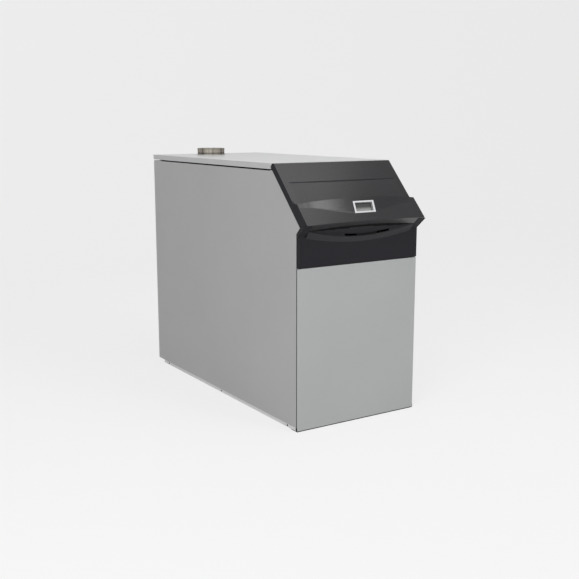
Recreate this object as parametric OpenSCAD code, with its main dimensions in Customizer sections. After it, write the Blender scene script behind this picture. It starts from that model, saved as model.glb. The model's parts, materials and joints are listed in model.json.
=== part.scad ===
// Floor-standing gas boiler with a sloping console, a lift-up console flap,
// a removable front panel and a flue collar on its top cover.
// Every module is drawn with y = 0 at the face of the front panel, y growing
// to the rear and z = 0 at the floor; in_place() then centres the boiler.

/* [Casing] */
// Width over the side panels
body_w = 700; // [690:5:760]
// Depth from the front panel's face to the rear edge of the side panels
body_d = 1526; // [1500:2:1620]
// Height from the floor to the top of the cover
body_h = 1237; // [1225:1:1300]
// Thickness of the casing sheets
sheet_t = 1.2; // [0.8:0.1:1.8]
// Width of the folded edges of the casing sheets
fold_w = 18; // [15:0.5:20]
// Gap that shows between neighbouring casing panels
panel_gap = 2; // [1:0.5:3]
// Height of the top cover's edge
cover_h = 27; // [22:1:34]
// Gap under the edge of the top cover
cover_gap = 5; // [3:0.5:6]

/* [Console] */
// Slope of the console face, from the floor
slant = 46.3; // [44:0.1:48]
// Distance of the console's top corner behind the front face
corner_back = 215; // [205:1:225]
// Length of the sloping face down to the chin, at its ends
slope_len = 384; // [374:1:390]
// Height of the raised visor over the sloping face
visor_rise = 22; // [16:1:26]
// Further rise of the hood over the display
hood_rise = 27; // [18:1:32]
// Distance down the slope to the upper edge of the visor
visor_start = 259; // [250:1:266]
// Slope of the underside between the chin and the front face
under_slope = 40; // [37:0.5:43]
// Height of the console, from its top corner to the lower edge of its fascia
console_h = 461; // [440:1:480]
// Sideways place of the display from the middle of the console
display_x = 10; // [0:1:20]
// Width of the display's frame
frame_w = 120; // [100:1:140]
// Height of the display's frame
frame_h = 58; // [50:1:60]
// Wall of the moulded console parts
mould_t = 4; // [3:0.2:5]

/* [Flue and water] */
// Inner radius of the flue collar
flue_r = 77.5; // [66:0.5:82]
// Height of the flue collar above the top cover
collar_h = 35; // [30:1:55]
// Distance of the flue's centre before the rear edge of the side panels
flue_inset = 106; // [101:1:112]
// Sideways place of the flue's centre
flue_x = -30; // [-40:1:-20]
// Outer radius of the flow and return pipes
pipe_r = 38; // [30:1:42]
// Wall of the flow and return pipes
pipe_t = 3; // [2:0.5:4]
// Radius of the pipe flanges
flange_r = 80; // [74:1:90]
// Pitch circle of the flange bolts
flange_pcd = 130; // [120:1:140]
// Reach of the pipe flanges behind the casing
pipe_reach = 60; // [50:1:80]
// Outer radius of the gas pipe
gas_r = 24; // [17:1:28]

/* [Heat exchanger] */
// Number of cast sections
section_n = 10; // [8:1:11]
// Width of a cast section
section_w = 460; // [420:5:480]
// Height from the top of the cast sections to the top of the side panels
section_head = 325; // [315:5:375]
// Height of the exchanger's lower face over the floor
section_z = 330; // [310:1:350]

/* [Feet and controls] */
// Radius of a foot's pad
foot_r = 22; // [16:1:26]
// Height of a foot's pad
foot_h = 4.6; // [4:0.2:6]
// Radius of a foot's screw
stud_r = 6; // [4:0.5:8]
// Radius of the control knobs
knob_r = 19; // [15:1:22]
// Radius of the push buttons
button_r = 6; // [4:0.5:7]

/* [Hidden] */
$fn = 48;

// Shared clearances: a face that nearly touches, a running fit, an overrun for cuts
seat = 0.3;
run = 0.05;
cut = 1;

// Casing levels
half_w = body_w / 2;
rail_z = foot_h + seat;
rail_h = 90;
rail_t = 3;
rail_ledge_z = 20;
rail_ledge_w = fold_w + seat + rail_t;
rail_w = 75;
rail_front = 24;
rail_rear_inset = 78;
rail_rear = body_d - rail_rear_inset;
panel_z = rail_ledge_z + seat;
cover_z = body_h - cover_h;
panel_top = cover_z - cover_gap;
side_front = 8;
door_hem = 5;

// Console outline in the plane of y and z: s runs down the slope, n stands out of it
corner_drop = 1;
corner_z = body_h - corner_drop;
strip_rise = 20;
chin_y = corner_back - slope_len * cos(slant) - visor_rise * sin(slant);
chin_z = corner_z - slope_len * sin(slant) + visor_rise * cos(slant);
chin_reach = -chin_y;
under_z = chin_z - chin_reach * tan(under_slope);
fascia_z = corner_z - console_h;
door_top = fascia_z - panel_gap * 2;
door_z = rail_z;
front_y = (chin_reach - body_d - pipe_reach) / 2;

// Console details
bevel_w = 10;
lip_inset = 45;
face_half = half_w - bevel_w;
lip_half = half_w - lip_inset;
lip_end_w = 49;
lip_mid_w = 33;
lip_sag = 42;
mouth_drop = 18;
mouth_back = 13;
mouth_gap = 2.5;
chin_sag = 7;
smile_mid = 331;
smile_end = 283;
ledge_fall = 12;
crease_s = 119;
crease_d = 3;
crease_inset = 40;
crease_half = half_w - crease_inset;
bead_r = 5;
bead_back = 11;
axis_y = corner_back + bead_back;
axis_z = corner_z - bead_r;
cover_front = axis_y + bead_r + panel_gap;
strip_w = 20;

// Deck under the flap
deck_n = 52;
deck_t = 2;
deck_top_s = 30;
deck_low_s = 334;
display_s = 304;
hood_tilt = atan(hood_rise / (smile_mid - visor_start));

// A point of the section at the distance s down the slope and n out of it
function slope_pt(s, n) = [
    corner_back - s * cos(slant) - n * sin(slant),
    corner_z - s * sin(slant) + n * cos(slant)
];
function mix(a, b, t) = a + (b - a) * t;
function crown(x, half) = abs(x) >= half ? 0 : 1 - (x / half) * (x / half);
function wave(x, half) = abs(x) >= half ? 0 : (1 + cos(180 * x / half)) / 2;
function unit(v) = v / norm(v);
// Where the line through a and b meets the line through c and d
function meet(a, b, c, d) = a + (b - a) * cross(c - a, d - c) / cross(b - a, d - c);

// Moves the edges of a counter-clockwise outline inwards by d
function inset(pts, d) = let (n = len(pts)) [
    for (i = [0:n - 1])
        let (
            u = unit(pts[i] - pts[(i + n - 1) % n]),
            v = unit(pts[(i + 1) % n] - pts[i]),
            a = [-u.y, u.x],
            b = [-v.y, v.x]
        )
        pts[i] + (a + b) * d / (1 + a * b)
];

// Closed solid through rings of equal length
module loft(rings) {
    n = len(rings[0]);
    m = len(rings);
    sides = [
        for (i = [0:m - 2], j = [0:n - 1])
            let (a = i * n + j, b = i * n + (j + 1) % n)
            each [[a, b + n, b], [a, a + n, b + n]]
    ];
    caps = [[for (j = [0:n - 1]) j], [for (j = [n - 1:-1:0]) (m - 1) * n + j]];
    polyhedron([for (r = rings) each r], concat(sides, caps));
}

module in_place() {
    translate([0, front_y, 0]) children();
}

// A section in y and z, drawn as a plate between two places across the width
module plate_x(x0, x1, pts) {
    translate([x0, 0, 0]) rotate([90, 0, 90]) linear_extrude(x1 - x0) polygon(pts);
}

// A box given by its low and high corners
module span(low, high) {
    translate(low) cube(high - low);
}

module tube_y(r, wall, y0, y1, x, z) {
    translate([x, y0, z]) rotate([-90, 0, 0]) difference() {
        cylinder(r = r, h = y1 - y0);
        translate([0, 0, -cut]) cylinder(r = r - wall, h = y1 - y0 + 2 * cut);
    }
}

module rod_y(r, y0, y1, x, z) {
    translate([x, y0, z]) rotate([-90, 0, 0]) cylinder(r = r, h = y1 - y0);
}

// A quarter bend at a corner, between legs that leave it along the unit axes a and b
module bend(corner, a, b, bend_r, r) {
    c = corner + bend_r * (a + b);
    z = cross(b, a);
    multmatrix([[-b.x, -a.x, z.x, c.x], [-b.y, -a.y, z.y, c.y], [-b.z, -a.z, z.z, c.z], [0, 0, 0, 1]])
        rotate_extrude(angle = 90) translate([bend_r, 0]) circle(r = r);
}

module rod_between(a, b, r) {
    d = b - a;
    along_y = [d.y > 0 ? -90 : 90, 0, 0];
    along_x = [0, d.x > 0 ? 90 : -90, 0];
    turn = d.z != 0 ? [d.z > 0 ? 0 : 180, 0, 0] : d.y != 0 ? along_y : along_x;
    translate(a) rotate(turn) cylinder(r = r, h = norm(d));
}

// A round run along the axes, through corners of one bend radius
module run_along(pts, r, bend_r) {
    last = len(pts) - 1;
    rod_between(pts[1] + bend_r * unit(pts[0] - pts[1]), pts[0], r);
    for (i = [1:last - 1])
        let (u = unit(pts[i + 1] - pts[i]))
        rod_between(pts[i] + bend_r * u, pts[i + 1] - (i < last - 1 ? bend_r : 0) * u, r);
    for (i = [1:1:last - 1])
        bend(pts[i], unit(pts[i - 1] - pts[i]), unit(pts[i + 1] - pts[i]), bend_r, r);
}

// Frame of the sloping face: X across, Y up the slope, Z out of the face
module on_slope(s, n, tilt = 0) {
    p = slope_pt(s, n);
    translate([0, p.x, p.y]) rotate([slant + tilt, 0, 0]) children();
}

// Base rails
foot_in = 47;
foot_front = 80;
foot_lead = 68;
foot_rear = rail_rear - foot_lead;
boss_r = 12;
boss_h = 20;
screw_z = (rail_z + rail_ledge_z) / 2;
nose_w = fold_w - 2 * seat;
sill_h = foot_h - 2 * seat;
sill_back = foot_front - foot_r - foot_h;
screw_head_r = 5;
screw_head_h = 1.6;
screw_r = 2.6;
screw_len = 12;
screw_lead = 58;
screw_tail = 60;
screw_places = [rail_front + screw_lead, (rail_front + rail_rear) / 2, rail_rear - screw_tail];

module rail() {
    outline = [
        [0, rail_z], [rail_w, rail_z], [rail_w, rail_z + rail_t], [rail_t, rail_z + rail_t],
        [rail_t, rail_ledge_z - rail_t], [rail_ledge_w, rail_ledge_z - rail_t],
        [rail_ledge_w, rail_h - rail_t], [rail_w, rail_h - rail_t], [rail_w, rail_h],
        [rail_ledge_w - rail_t, rail_h], [rail_ledge_w - rail_t, rail_ledge_z], [0, rail_ledge_z]
    ];
    difference() {
        union() {
            translate([-half_w, rail_rear, 0]) rotate([90, 0, 0])
                linear_extrude(rail_rear - rail_front) polygon(outline);
            span([-half_w, side_front, rail_z], [nose_w - half_w, rail_front + rail_t, rail_ledge_z]);
            for (y = [foot_front, foot_rear])
                translate([-half_w + foot_in, y, rail_z]) cylinder(r = boss_r, h = boss_h);
        }
        for (y = [foot_front, foot_rear])
            translate([-half_w + foot_in, y, rail_z - cut]) cylinder(r = stud_r + run, h = boss_h + 2 * cut);
        for (y = screw_places)
            translate([-half_w - cut, y, screw_z]) rotate([0, 90, 0]) {
                cylinder(r = screw_head_r + seat, h = screw_head_h + cut);
                cylinder(r = screw_r + seat, h = rail_t + 2 * cut);
            }
    }
}

module base_rail_left() {
    in_place() color("#b9bbbb") rail();
}

module base_rail_right() {
    in_place() color("#b9bbbb") mirror([1, 0, 0]) rail();
}

// Black sill that closes the base under the door, seated under the rails
module front_sill() {
    reach = half_w - panel_gap;
    low = rail_z - seat - sill_h;
    in_place() color("#1c1c1e") difference() {
        span([-reach, seat, low], [reach, sill_back, low + sill_h]);
        span([rail_w - reach, rail_t, low + rail_t], [reach - rail_w, sill_back + cut, rail_z]);
    }
}

module panel_screws() {
    in_place() color("#1c1c1e") for (side = [-1, 1], y = screw_places)
        scale([side, 1, 1]) translate([half_w, y, screw_z]) rotate([0, -90, 0]) {
            cylinder(r = screw_head_r, h = screw_head_h);
            cylinder(r = screw_r, h = screw_len);
        }
}

module foot(side, y) {
    in_place() color("#2b2b2d") translate([side * (half_w - foot_in), y, 0]) {
        cylinder(r1 = foot_r, r2 = foot_r - foot_h / 4, h = foot_h);
        cylinder(r = stud_r, h = rail_z + rail_h - 2 * rail_t - boss_h / 2);
    }
}

// Cross members between the rails, and the stand under the exchanger
member_w = 40;
member_t = 3;
section_rear_inset = 341;
section_rear = body_d - section_rear_inset;
section_front = 385;
section_d = section_rear - section_front;
section_pitch = section_d / section_n;
member_places = [rail_front + member_w, section_front + member_w, (section_front + section_rear) / 2,
    section_rear - 2 * member_w, rail_rear - 3 * member_w / 2];
stand_in = 20;
stand_x = section_w / 2 - stand_in;
stand_w = 36;
stand_t = 4;
section_h = panel_top - section_z - section_head;
exch_top = section_z + section_h;

module channel(x0, x1, y0, z0, z1, w, t) {
    translate([x0, y0, 0]) rotate([90, 0, 90]) linear_extrude(x1 - x0)
        polygon([[0, z0], [w, z0], [w, z1], [w - t, z1], [w - t, z0 + t], [t, z0 + t], [t, z1], [0, z1]]);
}

module base_cross_members() {
    reach = half_w - rail_w - seat;
    in_place() color("#8f9294") for (y = member_places)
        channel(-reach, reach, y, rail_h - member_w, rail_h, member_w, member_t);
}

module exchanger_stand() {
    low = rail_h + seat;
    in_place() color("#8f9294") for (side = [-1, 1]) scale([side, 1, 1]) {
        difference() {
            translate([stand_x, section_front, 0]) rotate([90, 0, 0]) mirror([0, 0, 1])
                linear_extrude(section_d) polygon([
                    [0, low], [stand_w, low], [stand_w, low + stand_t], [stand_t, low + stand_t],
                    [stand_t, section_z - stand_t - seat], [stand_w, section_z - stand_t - seat],
                    [stand_w, section_z - seat], [0, section_z - seat]
                ]);
            for (i = [0:section_n / 2 - 1])
                translate([stand_x - cut, section_front + section_pitch * (2 * i + 1), (low + section_z) / 2])
                    rotate([0, 90, 0]) cylinder(r = section_pitch / 2, h = stand_t + 2 * cut);
        }
    }
}

// Posts and top rails
post_w = 30;
post_t = 2;
post_x = half_w - fold_w - seat - post_w;
post_low = rail_h;
top_rail_h = 30;
top_rail_z = panel_top - top_rail_h;
front_post_y = 25;
post_lead = 34;
frame_inset = 16;
mid_post_y = axis_y + post_lead;
frame_back = body_d - frame_inset;
rear_post_y = frame_back - post_w;
seal_w = 8;
collar_t = 1.5;
collar_r = flue_r + collar_t;
flue_back = body_d - flue_inset;

module square_tube(h) {
    difference() {
        cube([post_w, post_w, h]);
        translate([post_t, post_t, -cut]) cube([post_w - 2 * post_t, post_w - 2 * post_t, h + 2 * cut]);
    }
}

module frame_posts() {
    in_place() color("#8f9294") for (side = [-1, 1]) scale([side, 1, 1]) {
        translate([post_x, front_post_y, post_low]) square_tube(fascia_z + mould_t - seat - post_low);
        translate([post_x, mid_post_y, post_low]) square_tube(top_rail_z - post_low);
        translate([post_x, rear_post_y - rail_rear_inset, post_low]) square_tube(top_rail_z - post_low);
    }
}

module frame_top_rails() {
    cross_x = post_x - seat;
    in_place() color("#8f9294") {
        for (side = [-1, 1]) scale([side, 1, 1]) {
            difference() {
                span([post_x, mid_post_y, top_rail_z], [post_x + post_w, frame_back, panel_top]);
                span([post_x + post_t, mid_post_y - cut, top_rail_z + post_t],
                    [post_x + post_w - post_t, frame_back + cut, panel_top - post_t]);
            }
            for (y = [mid_post_y + post_w, frame_back - 2 * post_w])
                span([post_x, y, panel_top], [post_x + post_w, y + post_w, body_h - sheet_t - seat]);
        }
        for (y = [mid_post_y, flue_back - collar_r - seal_w - 2 * post_w])
            channel(-cross_x, cross_x, y, top_rail_z, panel_top, post_w, post_t);
    }
}

// Plates that carry the console
bracket_t = 2;
bracket_in = 12;
bracket_x = half_w - strip_w - bracket_in;
bracket_back = mid_post_y - seat;

module console_brackets() {
    top = slope_pt(deck_top_s, -deck_n - deck_t - seat);
    low = slope_pt(deck_low_s, -deck_n - deck_t - seat);
    in_place() color("#8f9294") for (side = [-1, 1]) scale([side, 1, 1]) {
        plate_x(bracket_x - bracket_t, bracket_x, [
            [mould_t + seat, fascia_z + mould_t], [bracket_back, fascia_z + mould_t], [bracket_back, top.y],
            top, low, [low.x, under_z - lip_sag], [mould_t + seat, under_z - lip_sag]
        ]);
        span([bracket_x - bracket_t, bracket_back - bracket_t, fascia_z + mould_t],
            [post_x + post_w, bracket_back, top.y]);
    }
}

// Casing panels
side_slope = 6;

function side_outline() = let (
    top_s = (corner_z - strip_rise * cos(slant) - panel_top) / sin(slant),
    top = slope_pt(top_s, -strip_rise),
    low = slope_pt(slope_len - visor_rise, -strip_rise)
) [
    [side_front, panel_z], [body_d, panel_z], [body_d, panel_top], [top.x, panel_top], low,
    [side_front, low.y - (side_front - low.x) * tan(under_slope + side_slope)]
];

module side_panel() {
    in_place() color("#a3a5a5") difference() {
        plate_x(half_w - fold_w, half_w, side_outline());
        plate_x(half_w - fold_w - cut, half_w - sheet_t, inset(side_outline(), sheet_t));
    }
}

module side_panel_right() {
    side_panel();
}

module side_panel_left() {
    mirror([1, 0, 0]) side_panel();
}

catch_low = 110;
catch_high = 90;
catch_z = [panel_z + catch_low, door_top - catch_high];
catch_x = post_x + post_w / 2;
door_fold = 20;
catch_pin_r = 4;

module front_panel() {
    half = half_w - panel_gap;
    tray = half_w - fold_w - panel_gap;
    in_place() color("#a8abac") {
        difference() {
            union() {
                span([-half, 0, door_z], [half, door_hem, door_top]);
                span([-tray, 0, door_z], [tray, door_fold, door_top]);
            }
            span([-tray + sheet_t, sheet_t, door_z + sheet_t],
                [tray - sheet_t, door_fold + cut, door_top - sheet_t]);
        }
        for (side = [-1, 1], z = catch_z)
            rod_y(catch_pin_r, sheet_t, door_fold, side * catch_x, z);
    }
}

module panel_catches() {
    catch_wall = catch_pin_r * 3 / 2 - run;
    catch_r = catch_pin_r + run + catch_wall;
    in_place() color("#2b2b2d") for (side = [-1, 1], z = catch_z)
        tube_y(catch_r, catch_wall, sheet_t + seat * 4, front_post_y - seat, side * catch_x, z);
}

hole_gap = 8;
flow_x = 130;
flow_drop = 50;
flow_z = exch_top - flow_drop;
return_rise = 70;
return_z = section_z + return_rise;
gas_in = 88;
gas_x = half_w - gas_in;
gas_rise = 90;
gas_z = exch_top + gas_rise;
drain_rise = 60;
drain_out_z = rail_h + drain_rise;
siphon_x = -150;
siphon_out_r = 16;
louvre_n = 9;
louvre_w = 260;
louvre_pitch = 22;
louvre_h = 8;
louvre_z = panel_top - (louvre_n + 1) * louvre_pitch;

module rear_panel() {
    half = half_w - sheet_t - seat;
    inner = body_d - 2 * sheet_t - seat;
    in_place() color("#9b9d9d") difference() {
        union() {
            span([-half, inner, panel_z + sheet_t + seat],
                [half, inner + sheet_t, panel_top - sheet_t - seat]);
            for (i = [0:louvre_n - 1])
                span([-louvre_w / 2, inner + sheet_t - seat, louvre_z + i * louvre_pitch],
                    [louvre_w / 2, body_d, louvre_z + i * louvre_pitch + sheet_t]);
        }
        for (z = [flow_z, return_z]) rod_y(pipe_r + hole_gap, inner - cut, body_d + cut, flow_x, z);
        rod_y(gas_r + hole_gap, inner - cut, body_d + cut, gas_x, gas_z);
        rod_y(siphon_out_r + hole_gap, inner - cut, body_d + cut, siphon_x, drain_out_z);
        for (i = [0:louvre_n - 1])
            span([-louvre_w / 2, inner - cut, louvre_z + i * louvre_pitch - louvre_h],
                [louvre_w / 2, body_d, louvre_z + i * louvre_pitch]);
    }
}

cover_over = 5;
cover_rear = body_d + cover_over;

module top_cover() {
    in_place() color("#d4d5d5") difference() {
        span([-half_w, cover_front, cover_z], [half_w, cover_rear, body_h]);
        span([-half_w + sheet_t, cover_front + sheet_t, cover_z - cut],
            [half_w - sheet_t, cover_rear - sheet_t, body_h - sheet_t]);
        translate([flue_x, flue_back, cover_z]) cylinder(r = collar_r + seal_w, h = cover_h + cut);
    }
}

// Console: end cheeks and the fascia with its scooped mouth
function under_pt(x, w, lift = 0) = let (p = chin(x)) [
    p.x + w * cos(under_slope) + lift * sin(under_slope),
    p.y - w * sin(under_slope) + lift * cos(under_slope)
];
function chin(x) = slope_pt(slope_len - chin_sag * crown(x, face_half), visor_rise);
function lip_w(x) = mix(lip_end_w, lip_mid_w, crown(x, lip_half + mould_t));

module cheek() {
    wall = mould_t * 3 / 4;
    low = slope_pt(slope_len - visor_rise, -strip_rise);
    side_low = side_outline()[5];
    top = under_pt(half_w, mould_t + 2 * seat);
    skin = [[0, fascia_z], [0, under_z], top];
    inner = [
        [wall, fascia_z], [wall, under_z + wall * tan(under_slope / 2)],
        top + wall * [sin(under_slope), cos(under_slope)] + seat * [cos(under_slope), -sin(under_slope)]
    ];
    tip = low - seat * [1, 3];
    side = [
        [0, fascia_z], [side_front - seat, fascia_z], [side_front - seat, side_low.y], tip, top, [0, under_z]
    ];
    under_end = meet(inner[1], inner[2], top, tip);
    in_place() color("#343436") difference() {
        union() {
            plate_x(half_w - wall, half_w, side);
            plate_x(half_w - strip_w, half_w, [skin[0], inner[0], inner[1], skin[1]]);
            plate_x(lip_half + 3 * seat, face_half - mould_t - seat, [skin[1], inner[1], inner[2], skin[2]]);
            plate_x(face_half - mould_t - 2 * seat, half_w, [skin[1], inner[1], under_end, skin[2]]);
        }
        span([half_w - strip_w - cut, -cut, fascia_z - cut],
            [half_w - strip_w + wall / 3, wall / 3, under_z - lip_sag / 2]);
    }
}

module cheek_right() {
    cheek();
}

module cheek_left() {
    mirror([1, 0, 0]) cheek();
}

scoop_d = 24;
scoop_steps = 6;
slot_x = 35;
slot_half = 130;
slot_h = 12;
slot_foot = mould_t / 2;
slot_top = slot_foot + slot_h;
tab_half = 60;
tab_depth = 26;

function mouth_low(x) = let (
    tip = under_pt(x, lip_end_w + mouth_gap),
    mid = [-mouth_back, under_z - mouth_drop]
) mix(tip, mid, crown(x, lip_half + mould_t));
function mouth_high(x) = under_pt(x, lip_w(x) - mouth_gap, mould_t + mouth_gap);
function bezier(a, b, c, t) = mix(mix(a, b, t), mix(b, c, t), t);

// Section of the fascia inside the mouth, and its plain section beside it, point for point
function fascia_ring(x) = let (
    front = [0, under_z - lip_sag * crown(x, half_w)],
    low = mouth_low(x),
    high = mouth_high(x),
    pull = (low + high) / 2 + [scoop_d * crown(x, lip_half + mould_t) + mould_t, 0],
    scoop = [for (i = [0:scoop_steps]) bezier(low, pull, high, i / scoop_steps)],
    back = [for (i = [scoop_steps:-1:0]) scoop[i] + [mould_t, mould_t / 4 * (1 - i / scoop_steps)]]
) concat([[0, fascia_z], front], scoop, back, [[mould_t, front.y], [mould_t, fascia_z]]);
function fascia_end(x) = let (
    top = under_z - seat,
    n = 2 * scoop_steps + 2
) concat(
    [[0, fascia_z], [0, top]],
    [for (i = [1:n]) [mould_t * i / (n + 1), top]],
    [[mould_t, top], [mould_t, fascia_z]]
);

// A bar across the width that follows the lower lip, from y0 to y1 behind the lip's edge
module lip_bar(x0, x1, y0, y1, z0, z1) {
    steps = 6;
    loft([
        for (i = [0:steps])
            let (x = mix(x1, x0, i / steps), p = mouth_low(x))
            [for (c = [[y0, z0], [y0, z1], [y1, z1], [y1, z0]]) [x, p.x + c.x, p.y + c.y]]
    ]);
}

module fascia() {
    half = half_w - strip_w - seat;
    stations = 24;
    inside = [for (i = [0:stations]) lip_half * (1 - 2 * i / stations)];
    in_place() color("#2a282c") difference() {
        loft([
            for (x = concat([half, lip_half + 2 * seat], inside, [-lip_half - 2 * seat, -half]))
                [for (p = abs(x) > lip_half ? fascia_end(x) : fascia_ring(x)) [x, p.x, p.y]]
        ]);
        lip_bar(slot_x - slot_half, slot_x + slot_half, slot_foot, 2 * scoop_d, slot_foot, slot_top);
    }
}

module latch_tab() {
    low = slot_foot + seat;
    high = slot_top - seat;
    in_place() color("#3a3a3d")
        lip_bar(slot_x - tab_half, slot_x + tab_half, mould_t, mould_t + tab_depth, low, high);
}

// The flap: sloping cover, visor with its hood, and the upper lip of the mouth
hood_share = 0.94;
edge_share = 0.04;
chin_share = 0.97;
inner_share = 0.9;
thin_share = 0.86;

function visor_edge(x) = slope_pt(visor_start, visor_rise + hood_rise * crown(x, face_half));
function hood_foot(x) = let (n = visor_rise + hood_rise * crown(x, face_half) + crease_depth(x))
    slope_pt(visor_start - n / tan(slant + ledge_fall), -crease_depth(x));
function smile(x) = slope_pt(mix(smile_end, smile_mid, wave(x, face_half)), visor_rise);
function crease_depth(x) = crease_d * (1 - pow(min(1, abs(x) / crease_half), 4));

function flap_outer(x) = let (
    d = crease_depth(x),
    w = abs(x) > lip_half ? mould_t : lip_w(x),
    edge = visor_edge(x),
    foot = hood_foot(x)
) concat(
    [for (a = [-90:45:90]) [axis_y + bead_r * cos(a), axis_z + bead_r * sin(a)]],
    [
        slope_pt(0, 0), slope_pt(crease_s - crease_d * 2, 0), slope_pt(crease_s + crease_d, -d), foot,
        mix(foot, edge, hood_share), mix(edge, smile(x), edge_share), smile(x),
        mix(smile(x), chin(x), chin_share), chin(x), under_pt(x, w)
    ]
);

function flap_inner(x) = let (
    d = crease_depth(x),
    w = abs(x) > lip_half ? mould_t : lip_w(x),
    drop = mould_t * [sin(slant), -cos(slant)],
    edge = visor_edge(x),
    foot = hood_foot(x)
) [
    [axis_y - mould_t / 3, axis_z - bead_r], [axis_y - mould_t / 2, axis_z - bead_r],
    [axis_y - mould_t * 3 / 4, axis_z - bead_r], [axis_y - mould_t, axis_z - bead_r],
    [axis_y - mould_t * 5 / 4, axis_z - bead_r],
    slope_pt(mould_t, -mould_t), slope_pt(crease_s - crease_d * 2, -mould_t),
    slope_pt(crease_s + crease_d, -d - mould_t), foot + drop,
    mix(foot, edge, inner_share) + drop, mix(edge, smile(x), edge_share) + drop, smile(x) + drop,
    mix(smile(x), chin(x), inner_share) + drop, under_pt(x, mould_t, mould_t) - drop / 2,
    under_pt(x, w, mould_t)
];

// Lower boundary of the flap's side skirts, point for point like the other two
function flap_skirt() = let (n = -strip_rise + seat) [
    [axis_y - mould_t / 3, axis_z - bead_r - mould_t], [axis_y - mould_t / 2, axis_z - bead_r - mould_t],
    [axis_y - mould_t * 3 / 4, axis_z - bead_r - mould_t], [axis_y - mould_t, axis_z - bead_r - mould_t],
    [axis_y - mould_t * 5 / 4, axis_z - bead_r - mould_t],
    slope_pt(strip_rise / 2, n), slope_pt(crease_s - crease_d * 2, n), slope_pt(crease_s + crease_d, n),
    slope_pt(visor_start - mould_t * 4, n), slope_pt(visor_start - mould_t * 2, n), slope_pt(visor_start, n),
    slope_pt(smile_end, n), slope_pt(slope_len - visor_rise - mould_t * 2, n),
    slope_pt(slope_len - visor_rise - mould_t, n), slope_pt(slope_len - visor_rise, n)
];

module flap_shell() {
    steps = 36;
    wall_x = face_half - mould_t;
    function turned(pts) = [for (i = [len(pts) - 1:-1:0]) pts[i]];
    function ring(x, outer, inner) = [for (p = concat(outer, turned(inner))) [x, p.x, p.y]];
    function plain(x) = ring(x, flap_outer(x), flap_inner(x));
    function skirt(side) = ring(side * (wall_x + seat), flap_outer(side * face_half), flap_skirt());
    function rim(side) = ring(side * face_half, flap_outer(side * face_half), flap_skirt());
    function edge(side) = ring(side * half_w, [
        for (i = [0:len(flap_skirt()) - 1])
            mix(flap_outer(face_half)[i], flap_skirt()[i], thin_share)
    ], flap_skirt());
    mid = [for (i = [0:steps]) lip_half * (2 * i / steps - 1)];
    loft(concat(
        [edge(-1), rim(-1), skirt(-1), plain(-wall_x), plain(-lip_half - seat * 2)],
        [for (x = mid) plain(x)],
        [plain(lip_half + seat * 2), plain(wall_x), skirt(1), rim(1), edge(1)]
    ));
}

knuckle_in = 50;
knuckle_x = half_w - knuckle_in;
knuckle_w = 10;
ear_t = 4;
hinge_r = 2.5;
window_low = 9;
window_s = (smile_mid + visor_start) / 2 + window_low;
window_n = visor_rise + hood_rise * (smile_mid - window_s) / (smile_mid - visor_start);
frame_proud = 1.5;
frame_deep = 14;
frame_rim = 12;

module flap() {
    notch = knuckle_w / 2 + ear_t + 3 * seat;
    in_place() color("#4a4a4d") difference() {
        flap_shell();
        on_window() cube([frame_w - mould_t, frame_h - mould_t, 6 * mould_t], center = true);
        for (side = [-1, 1])
            span([side * knuckle_x - notch, axis_y - bead_r - mould_t, axis_z - 3 * bead_r],
                [side * knuckle_x + notch, axis_y + 2 * bead_r, axis_z + 2 * bead_r]);
    }
}

// Drawn in the frame of the hood's face round the display
module on_window() {
    on_slope(window_s, window_n) rotate([hood_tilt, 0, 0]) translate([display_x, 0, 0]) children();
}

module window_frame() {
    in_place() color("#d8d8da") on_window() difference() {
        union() {
            translate([-frame_w / 2, -frame_h / 2, seat]) cube([frame_w, frame_h, frame_proud]);
            translate([-(frame_w - mould_t) / 2 + seat, -(frame_h - mould_t) / 2 + seat, -frame_deep])
                cube([frame_w - mould_t - 2 * seat, frame_h - mould_t - 2 * seat, frame_deep + frame_proud]);
        }
        translate([-frame_w / 2 + frame_rim, -frame_h / 2 + frame_rim, -frame_deep - cut])
            cube([frame_w - 2 * frame_rim, frame_h - 2 * frame_rim, frame_deep + frame_proud + 2 * cut]);
    }
}

module window_lens() {
    in_place() color("#7c847c") on_window()
        translate([-frame_w / 2 + frame_rim + run, -frame_h / 2 + frame_rim + run, -frame_deep])
            cube([frame_w - 2 * frame_rim - 2 * run, frame_h - 2 * frame_rim - 2 * run, mould_t / 2]);
}

arm_len = 60;

module hinge_arms() {
    in_place() color("#77797b") for (side = [-1, 1]) translate([side * knuckle_x, 0, 0]) difference() {
        union() {
            translate([-knuckle_w / 2, axis_y, axis_z]) rotate([0, 90, 0])
                cylinder(r = bead_r, h = knuckle_w);
            plate_x(-knuckle_w / 2, knuckle_w / 2, [
                [axis_y, axis_z - bead_r], slope_pt(arm_len, -mould_t - 3 * bead_r),
                slope_pt(arm_len, -mould_t - seat), slope_pt(2 * bead_r, -mould_t - seat), [axis_y, axis_z]
            ]);
        }
        translate([-knuckle_w, axis_y, axis_z]) rotate([0, 90, 0])
            cylinder(r = hinge_r + run, h = 2 * knuckle_w);
    }
}

module hinge_brackets() {
    ear_in = knuckle_w / 2 + seat;
    foot_y = mid_post_y - seat;
    foot_z = top_rail_z + 2 * post_t;
    in_place() color("#77797b") for (side = [-1, 1]) translate([side * knuckle_x, 0, 0]) {
        for (ear = [-1, 1])
            plate_x(ear > 0 ? ear_in : -ear_in - ear_t, ear > 0 ? ear_in + ear_t : -ear_in, [
                [axis_y - bead_r, foot_z], [foot_y, foot_z], [foot_y, cover_z - bead_r],
                [axis_y + bead_r, cover_z - bead_r], [axis_y + bead_r, axis_z],
                [axis_y, axis_z + bead_r], [axis_y - bead_r, axis_z]
            ]);
        span([-ear_in - ear_t, foot_y - ear_t, foot_z], [ear_in + ear_t, foot_y, cover_z - 2 * bead_r]);
        translate([-ear_in - ear_t, axis_y, axis_z]) rotate([0, 90, 0])
            cylinder(r = hinge_r, h = 2 * (ear_in + ear_t));
    }
}

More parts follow.
